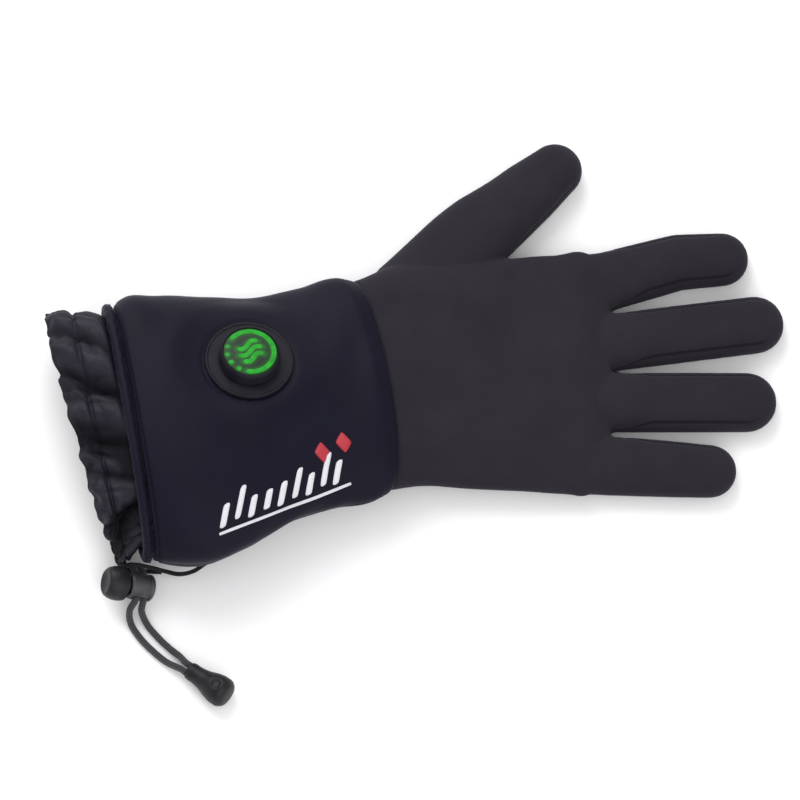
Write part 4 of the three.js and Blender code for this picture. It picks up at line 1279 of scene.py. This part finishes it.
white_patches = [satin_patch(bar_outline(*row), (row[2] - row[1]) * PIXEL / THREAD_GAP)
                 for row in WHITE_BARS]
line_along = LINE_START + np.linspace(0, LINE_LENGTH, 80)
line_up = -4.5 + 1.7 * np.linspace(-1, 1, 5)
line_grid = (ROW_START + line_along[:, None, None] * ROW_WAY + line_up[None, :, None] * ROW_UP)
white_patches.append(satin_patch(line_grid, LINE_LENGTH * PIXEL / THREAD_GAP))
white_stitching = join_patches("white_embroidery", white_patches)
white_stitching.data.materials.append(
    satin_material("white_satin_thread", (0.42, 0.42, 0.46), (0.80, 0.80, 0.84)))
red_stitching = join_patches("red_embroidery", [
    satin_patch(lozenge_outline(*row), row[3] * PIXEL / THREAD_GAP) for row in RED_LOZENGES])
red_stitching.data.materials.append(
    satin_material("red_satin_thread", (0.22, 0.004, 0.014), (0.52, 0.014, 0.035)))
for piece in (white_stitching, red_stitching):
    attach(piece, "glove")


# The cord lock. A moulded barrel with a slot from side to side and finger ribs on one
# flank, and a sprung plunger with a dished round head that slides in it.
LOCK_RISE = math.radians(25)
BARREL_RADIUS = 5.8
LOCK_FOOT = np.array([-112.0, -106.3, BARREL_RADIUS * math.cos(LOCK_RISE) + 0.15])
LOCK_OUT = np.array([-math.cos(LOCK_RISE), 0.0, math.sin(LOCK_RISE)])
LOCK_RIGHT = np.array([math.sin(LOCK_RISE), 0.0, math.cos(LOCK_RISE)])
LOCK_ACROSS = np.cross(LOCK_OUT, LOCK_RIGHT)
LOCK_AXES = (LOCK_FOOT, LOCK_OUT, LOCK_RIGHT)
RIB_PITCH = 1.5
SLOT_HALF = (3.9, 2.1)
SLOT_AT = 5.5


def slot_form(name, at, half_long, half_high):
    """A prism right through the lock, long along its axis, with round ends, for cutting."""
    turn = np.linspace(0, 2 * np.pi, 33)
    straight = half_long - half_high
    along = np.sign(np.cos(turn)) * straight * (np.abs(np.cos(turn)) > 1e-6)
    ring = (LOCK_FOOT + (at + along + half_high * np.cos(turn))[:, None] * LOCK_OUT
            + (half_high * np.sin(turn))[:, None] * LOCK_RIGHT)
    rings = ring + np.linspace(-12, 12, 2)[:, None, None] * LOCK_ACROSS
    return ring_piece(name, capped(rings))


def cut_by(piece, cutter):
    """Takes a cutting form out of a piece and removes the form."""
    modified_mesh(piece, ("BOOLEAN", {"operation": "DIFFERENCE", "solver": "EXACT",
                                      "object": cutter}))
    bpy.data.objects.remove(cutter)
    return piece


barrel_profile = rounded([
    (0, 0), (5.0, 0), (5.8, 0.8), (5.8, 1.9), (5.5, 2.1), (5.5, 2.6), (5.8, 2.8), (5.8, 9.9),
    (5.4, 11), (4.3, 11), (4.2, 1.5), (0, 1.5),
], 0.3)
barrel_rings = turned(barrel_profile, 72, *LOCK_AXES)
height = (barrel_rings - LOCK_FOOT) @ LOCK_OUT
from_axis = barrel_rings - LOCK_FOOT - height[..., None] * LOCK_OUT
radius = np.linalg.norm(from_axis, axis=-1)
flank = step_up((-(unit(from_axis) @ LOCK_ACROSS) - 0.25) * 2.5)
ribs = 0.28 * (1 + np.cos(height * 2 * np.pi / RIB_PITCH)) * flank * (radius > 5.2)
ribs = ribs * step_up((height - 2.6) / 0.8) * step_up((9.2 - height) / 0.8)
barrel_rings = barrel_rings + unit(from_axis) * ribs[..., None]
barrel_rings[..., 2] = np.maximum(barrel_rings[..., 2], 0.2)
barrel = ring_piece("lock_barrel", barrel_rings)
cut_by(barrel, slot_form("barrel_slot", SLOT_AT, *SLOT_HALF))

plunger_profile = rounded([
    (0, 4.9), (3.9, 4.9), (3.9, 14.4), (6.2, 14.4), (6.3, 12.7), (6.9, 12.7), (7.25, 13.8),
    (7.5, 15.8), (7.3, 18.0), (6.7, 19.9), (5.9, 21.2), (5.0, 21.7), (4.2, 21.4), (2.2, 20.8),
    (0, 20.7),
], 0.6, steps=6)
plunger = ring_piece("lock_button_head", turned(plunger_profile, 72, *LOCK_AXES))
cut_by(plunger, slot_form("plunger_slot", SLOT_AT + 1.5, SLOT_HALF[0] + 1.5, SLOT_HALF[1]))
plastic = moulded_material(
    "satin_black_plastic", (0.0072, 0.0072, 0.0092), (0.0140, 0.0140, 0.0168), 0.36, 0.54, 0.2,
    1500.0, Specular_IOR_Level=0.22)
# The barrel's plastic is set a lighter grey than the plunger's, all over it.
grey_plastic = moulded_material(
    "light_grey_plastic", (0.024, 0.024, 0.027), (0.046, 0.046, 0.050), 0.34, 0.5, 0.2, 1500.0,
    Specular_IOR_Level=0.42)
for piece, node, body, finish in ((barrel, "cord_lock_body", "glove", grey_plastic),
                                  (plunger, "cord_lock_plunger", "lock_button", plastic)):
    piece.data.materials.append(finish)
    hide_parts(node)
    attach(piece, body)


# The cord end. A moulded bell over the ends of the two strands, with a round dimple in the
# flank of its wide end and a fine mould line on both sides.
CORD_RADIUS = 1.5
END_FOOT = np.array([-95.6, -142.9, 4.3])
END_TURN = math.radians(-38)
END_RISE = math.radians(8)
END_OUT = np.array([*(math.cos(END_RISE) * on_circle(END_TURN)), math.sin(END_RISE)])
END_SIDE = unit(np.array([-END_OUT[1], END_OUT[0], 0.0]))
END_TOP = np.cross(END_OUT, END_SIDE)
bell_rows = np.array([
    [0.0, 3.0], [0.25, 3.6], [0.8, 3.8], [4.2, 3.95], [8.8, 4.75], [13.0, 6.15], [16.6, 6.65],
    [20.0, 5.75], [21.2, 4.1], [21.6, 2.0],
])
bell_along = np.concatenate([np.linspace(0, 0.8, 6, endpoint=False),
                             np.linspace(0.8, bell_rows[-1, 0], 60)])
bell_radius = through_rows(bell_rows, bell_along)[:, 0]
bell_profile = np.column_stack([np.concatenate([[0], bell_radius, [0]]),
                                np.concatenate([[0], bell_along, [21.65]])])
bell_rings = turned(bell_profile, 72, END_FOOT, END_OUT, END_SIDE)
dimple_at = END_FOOT + 15.6 * END_OUT + 6.5 * END_TOP
distance = np.linalg.norm(bell_rings - dimple_at, axis=-1)
bell_rings = bell_rings - END_TOP * (0.95 * (1 - step_up((distance - 1.2) / 1.3)))[..., None]
split_line = (bell_rings - END_FOOT) @ END_TOP
mould_line = 0.12 * bell(split_line, 0.3) * np.sign((bell_rings - END_FOOT) @ END_SIDE)
bell_rings = bell_rings + END_SIDE * mould_line[..., None]
bell_rings[..., 2] = np.maximum(bell_rings[..., 2], 0.1)
bell = ring_piece("cord_end_bell", bell_rings)
bell.data.materials.append(plastic)
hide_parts("cord_end")
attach(bell, "glove")


# The drawcords. Two strands of 3 mm braided elastic that leave the channel at the gaiter's
# corner, pass through the lock side by side, touch down and end in the bell.
def smooth_path(points, per_span):
    """A centripetal Catmull-Rom curve through points, as many steps in every span."""
    ends = np.vstack([2 * points[0] - points[1], points, 2 * points[-1] - points[-2]])
    made = []
    for p0, p1, p2, p3 in zip(ends[:-3], ends[1:-2], ends[2:-1], ends[3:]):
        d0, d1, d2 = (max(np.linalg.norm(b - a), 1e-6) ** 0.5 for a, b in
                      ((p0, p1), (p1, p2), (p2, p3)))
        m1 = (p1 - p0) / d0 - (p2 - p0) / (d0 + d1) + (p2 - p1) / d1
        m2 = (p2 - p1) / d1 - (p3 - p1) / (d1 + d2) + (p3 - p2) / d2
        t = np.linspace(0, 1, per_span, endpoint=False)[:, None]
        made.append((2 * t**3 - 3 * t**2 + 1) * p1 + (t**3 - 2 * t**2 + t) * m1 * d1
                    + (3 * t**2 - 2 * t**3) * p2 + (t**3 - t**2) * m2 * d1)
    return np.vstack([*made, points[-1:]])


def tube_rings(path, radius, sides):
    """Rings round a path by frames that turn as little as they can, their UV and the length."""
    way = unit(np.gradient(path, axis=0))
    side = np.empty_like(way)
    side[0] = unit(np.cross(way[0], (0, 0, 1.0)))
    for k in range(1, len(way)):
        side[k] = unit(side[k - 1] - way[k] * (side[k - 1] @ way[k]))
    up = np.cross(side, way)
    angle = np.linspace(0, 2 * np.pi, sides + 1)
    walked = walked_along(path)
    rings = path[:, None] + radius * (np.cos(angle)[None, :, None] * side[:, None]
                                      + np.sin(angle)[None, :, None] * up[:, None])
    return rings, uv_grid(angle * radius, walked) / 1000, walked[-1]


def braid_material(name, dark, light, pitch, **fixed):
    """Braid on the cord's own UV in metres: two crossing diagonal waves, one over the other."""
    material, tree, shader = start_material(name, 0.72, **fixed)
    place = add_node(tree, "UVMap")
    split = add_node(tree, "SeparateXYZ")
    link(tree, (place, "UV"), (split, "Vector"))
    strands = []
    for sign in (1.0, -1.0):
        lean = add_math(tree, "MULTIPLY_ADD", (split, "X"), None, (split, "Y"), in_1=sign)
        phase = add_math(tree, "MULTIPLY", (lean, 0), in_1=2 * math.pi / pitch)
        strands.append((add_math(tree, "SINE", (phase, 0)), 0))
    over = add_math(tree, "MULTIPLY", *strands)
    level = map_range(tree, (over, 0), (-1.0, 1.0, 0.0, 1.0))
    colour_ramp(tree, (level, "Result"), (shader, "Base Color"), dark, light)
    add_bump(tree, (level, "Result"), shader, 0.7, 0.0003)
    return material


braid = braid_material("braided_elastic", (0.006, 0.006, 0.009), (0.042, 0.042, 0.049), 0.0021,
                       Specular_IOR_Level=0.35, Sheen_Weight=0.3)
slot_middle = LOCK_FOOT + SLOT_AT * LOCK_OUT
STRAND_START = np.array([-119.2, -96.6, slot_middle[2]])
STRAND_SPREAD = 1.8
BARREL_SIDE = np.array([0.0, BARREL_RADIUS, 0.0])

# the side of each strand in the slot, and the points that it follows from the lock to the bell
STRANDS = {
    "drawcord_front": (1, [
        (-121.2, -116.4, 6.2), (-120.8, -121.0, 2.2), (-116.6, -127.8, 1.7),
        (-111.2, -133.6, 1.7), (-105.4, -138.6, 2.0)]),
    "drawcord_back": (-1, [
        (-116.2, -116.4, 5.6), (-113.8, -121.4, 2.0), (-109.2, -127.2, 1.7),
        (-104.2, -132.2, 1.7), (-99.8, -136.0, 2.2)]),
}
for name, (side, lying) in STRANDS.items():
    in_lock = slot_middle + side * STRAND_SPREAD * LOCK_OUT
    finish = END_FOOT - side * STRAND_SPREAD * END_SIDE - 0.3 * END_OUT
    route = np.vstack([
        STRAND_START + side * STRAND_SPREAD * LOCK_OUT,
        in_lock + BARREL_SIDE,
        in_lock - BARREL_SIDE,
        *lying,
        finish - 3.0 * END_OUT,
        finish,
    ])
    path = smooth_path(route, 12)
    rings, uv, length = tube_rings(path, CORD_RADIUS, 16)
    strand = ring_piece(f"{name}_braid", capped(rings), uv=end_to_end(uv))
    strand.data.materials.append(braid)
    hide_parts(name)
    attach(strand, "glove")


# The anchor tape. A narrow woven tape from the cuff's flank that loops round both strands,
# so that the lock can't slide off.
TAPE_HALF = (1.0, 0.42)
TAPE_POINTS = np.array([
    [-88, -96.6, 12], [-94, -100.2, 10.4], [-100, -101, 9], [-106, -99.6, 8.6],
    [-111.6, -99.0, 11.2], [-119.6, -98.1, 13.0], [-125.6, -97.6, 8.6],
    [-119.8, -97.7, 4.2], [-112.4, -98.6, 5.4], [-107.6, -99.4, 7.2],
])
tape_path = smooth_path(TAPE_POINTS, 12)
tape_way = unit(np.gradient(tape_path, axis=0))
tape_side = unit(np.array([0, 1.0, 0]) - tape_way * tape_way[:, 1:2])
tape_up = np.cross(tape_way, tape_side)
tape_angle = np.linspace(0, 2 * np.pi, 17)
tape_rings = (tape_path[:, None]
              + (TAPE_HALF[0] * soften(np.cos(tape_angle)))[None, :, None] * tape_side[:, None]
              + (TAPE_HALF[1] * soften(np.sin(tape_angle)))[None, :, None] * tape_up[:, None])
tape_uv = uv_grid(tape_angle, walked_along(tape_path)) / 1000
tape = ring_piece("anchor_loop_tape", capped(tape_rings), uv=end_to_end(tape_uv))
tape.data.materials.append(braid_material(
    "woven_tape", (0.006, 0.006, 0.008), (0.022, 0.022, 0.026), 0.0016, Specular_IOR_Level=0.2))
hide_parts("anchor_tape")
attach(tape, "glove")


# The table top, the soft light of a studio, and the camera.
floor_mesh = bpy.data.meshes.new("table_top")
floor_mesh.from_pydata([(-3, -3, 0), (3, -3, 0), (3, 3, 0), (-3, 3, 0)], [], [(0, 1, 2, 3)])
floor = add_object("table_top", floor_mesh)
pale, tree, shader = start_material("pale_table", 0.85, Specular_IOR_Level=0.1)
shader.inputs["Base Color"].default_value = (0.93, 0.93, 0.94, 1)
floor_mesh.materials.append(pale)


def soft_light(name, place, size, power):
    """A square area light at a place, facing the origin."""
    lamp = bpy.data.lights.new(name, "AREA")
    lamp.size = size
    lamp.energy = power
    back = unit(np.array(place, dtype=float))
    right = unit(np.cross((0.0, 1.0, 0.2), back))
    up = np.cross(back, right)
    turn = np.eye(4)
    turn[:3, 0], turn[:3, 1], turn[:3, 2], turn[:3, 3] = right, up, back, place
    add_object(name, lamp).matrix_world = Matrix(turn.tolist())


soft_light("key_light", (-0.45, 0.95, 0.95), 1.2, 16)
soft_light("fill_light", (0.4, -1.1, 1.1), 1.8, 15)
world = bpy.data.worlds.new("studio")
bpy.context.scene.world = world
world.use_nodes = True
background = world.node_tree.nodes["Background"]
background.inputs["Color"].default_value = (1, 1, 1, 1)
background.inputs["Strength"].default_value = 0.75

ELEVATION = math.radians(70)
LENS = 1000.0
SENSOR = 36.0
VIEW_WIDTH = 800 * PIXEL / 1000
AIM = np.array([-0.0068, -0.0179, 0.010])
distance = VIEW_WIDTH * LENS / SENSOR
camera_data = bpy.data.cameras.new("camera")
camera_data.lens = LENS
camera_data.sensor_width = SENSOR
camera_data.clip_start = 0.05
camera = add_object("camera", camera_data)
camera.location = AIM + distance * np.array([0, -math.cos(ELEVATION), math.sin(ELEVATION)])
camera.rotation_euler = (math.pi / 2 - ELEVATION, 0, 0)
bpy.context.scene.camera = camera
bpy.context.scene.view_settings.view_transform = "Standard"
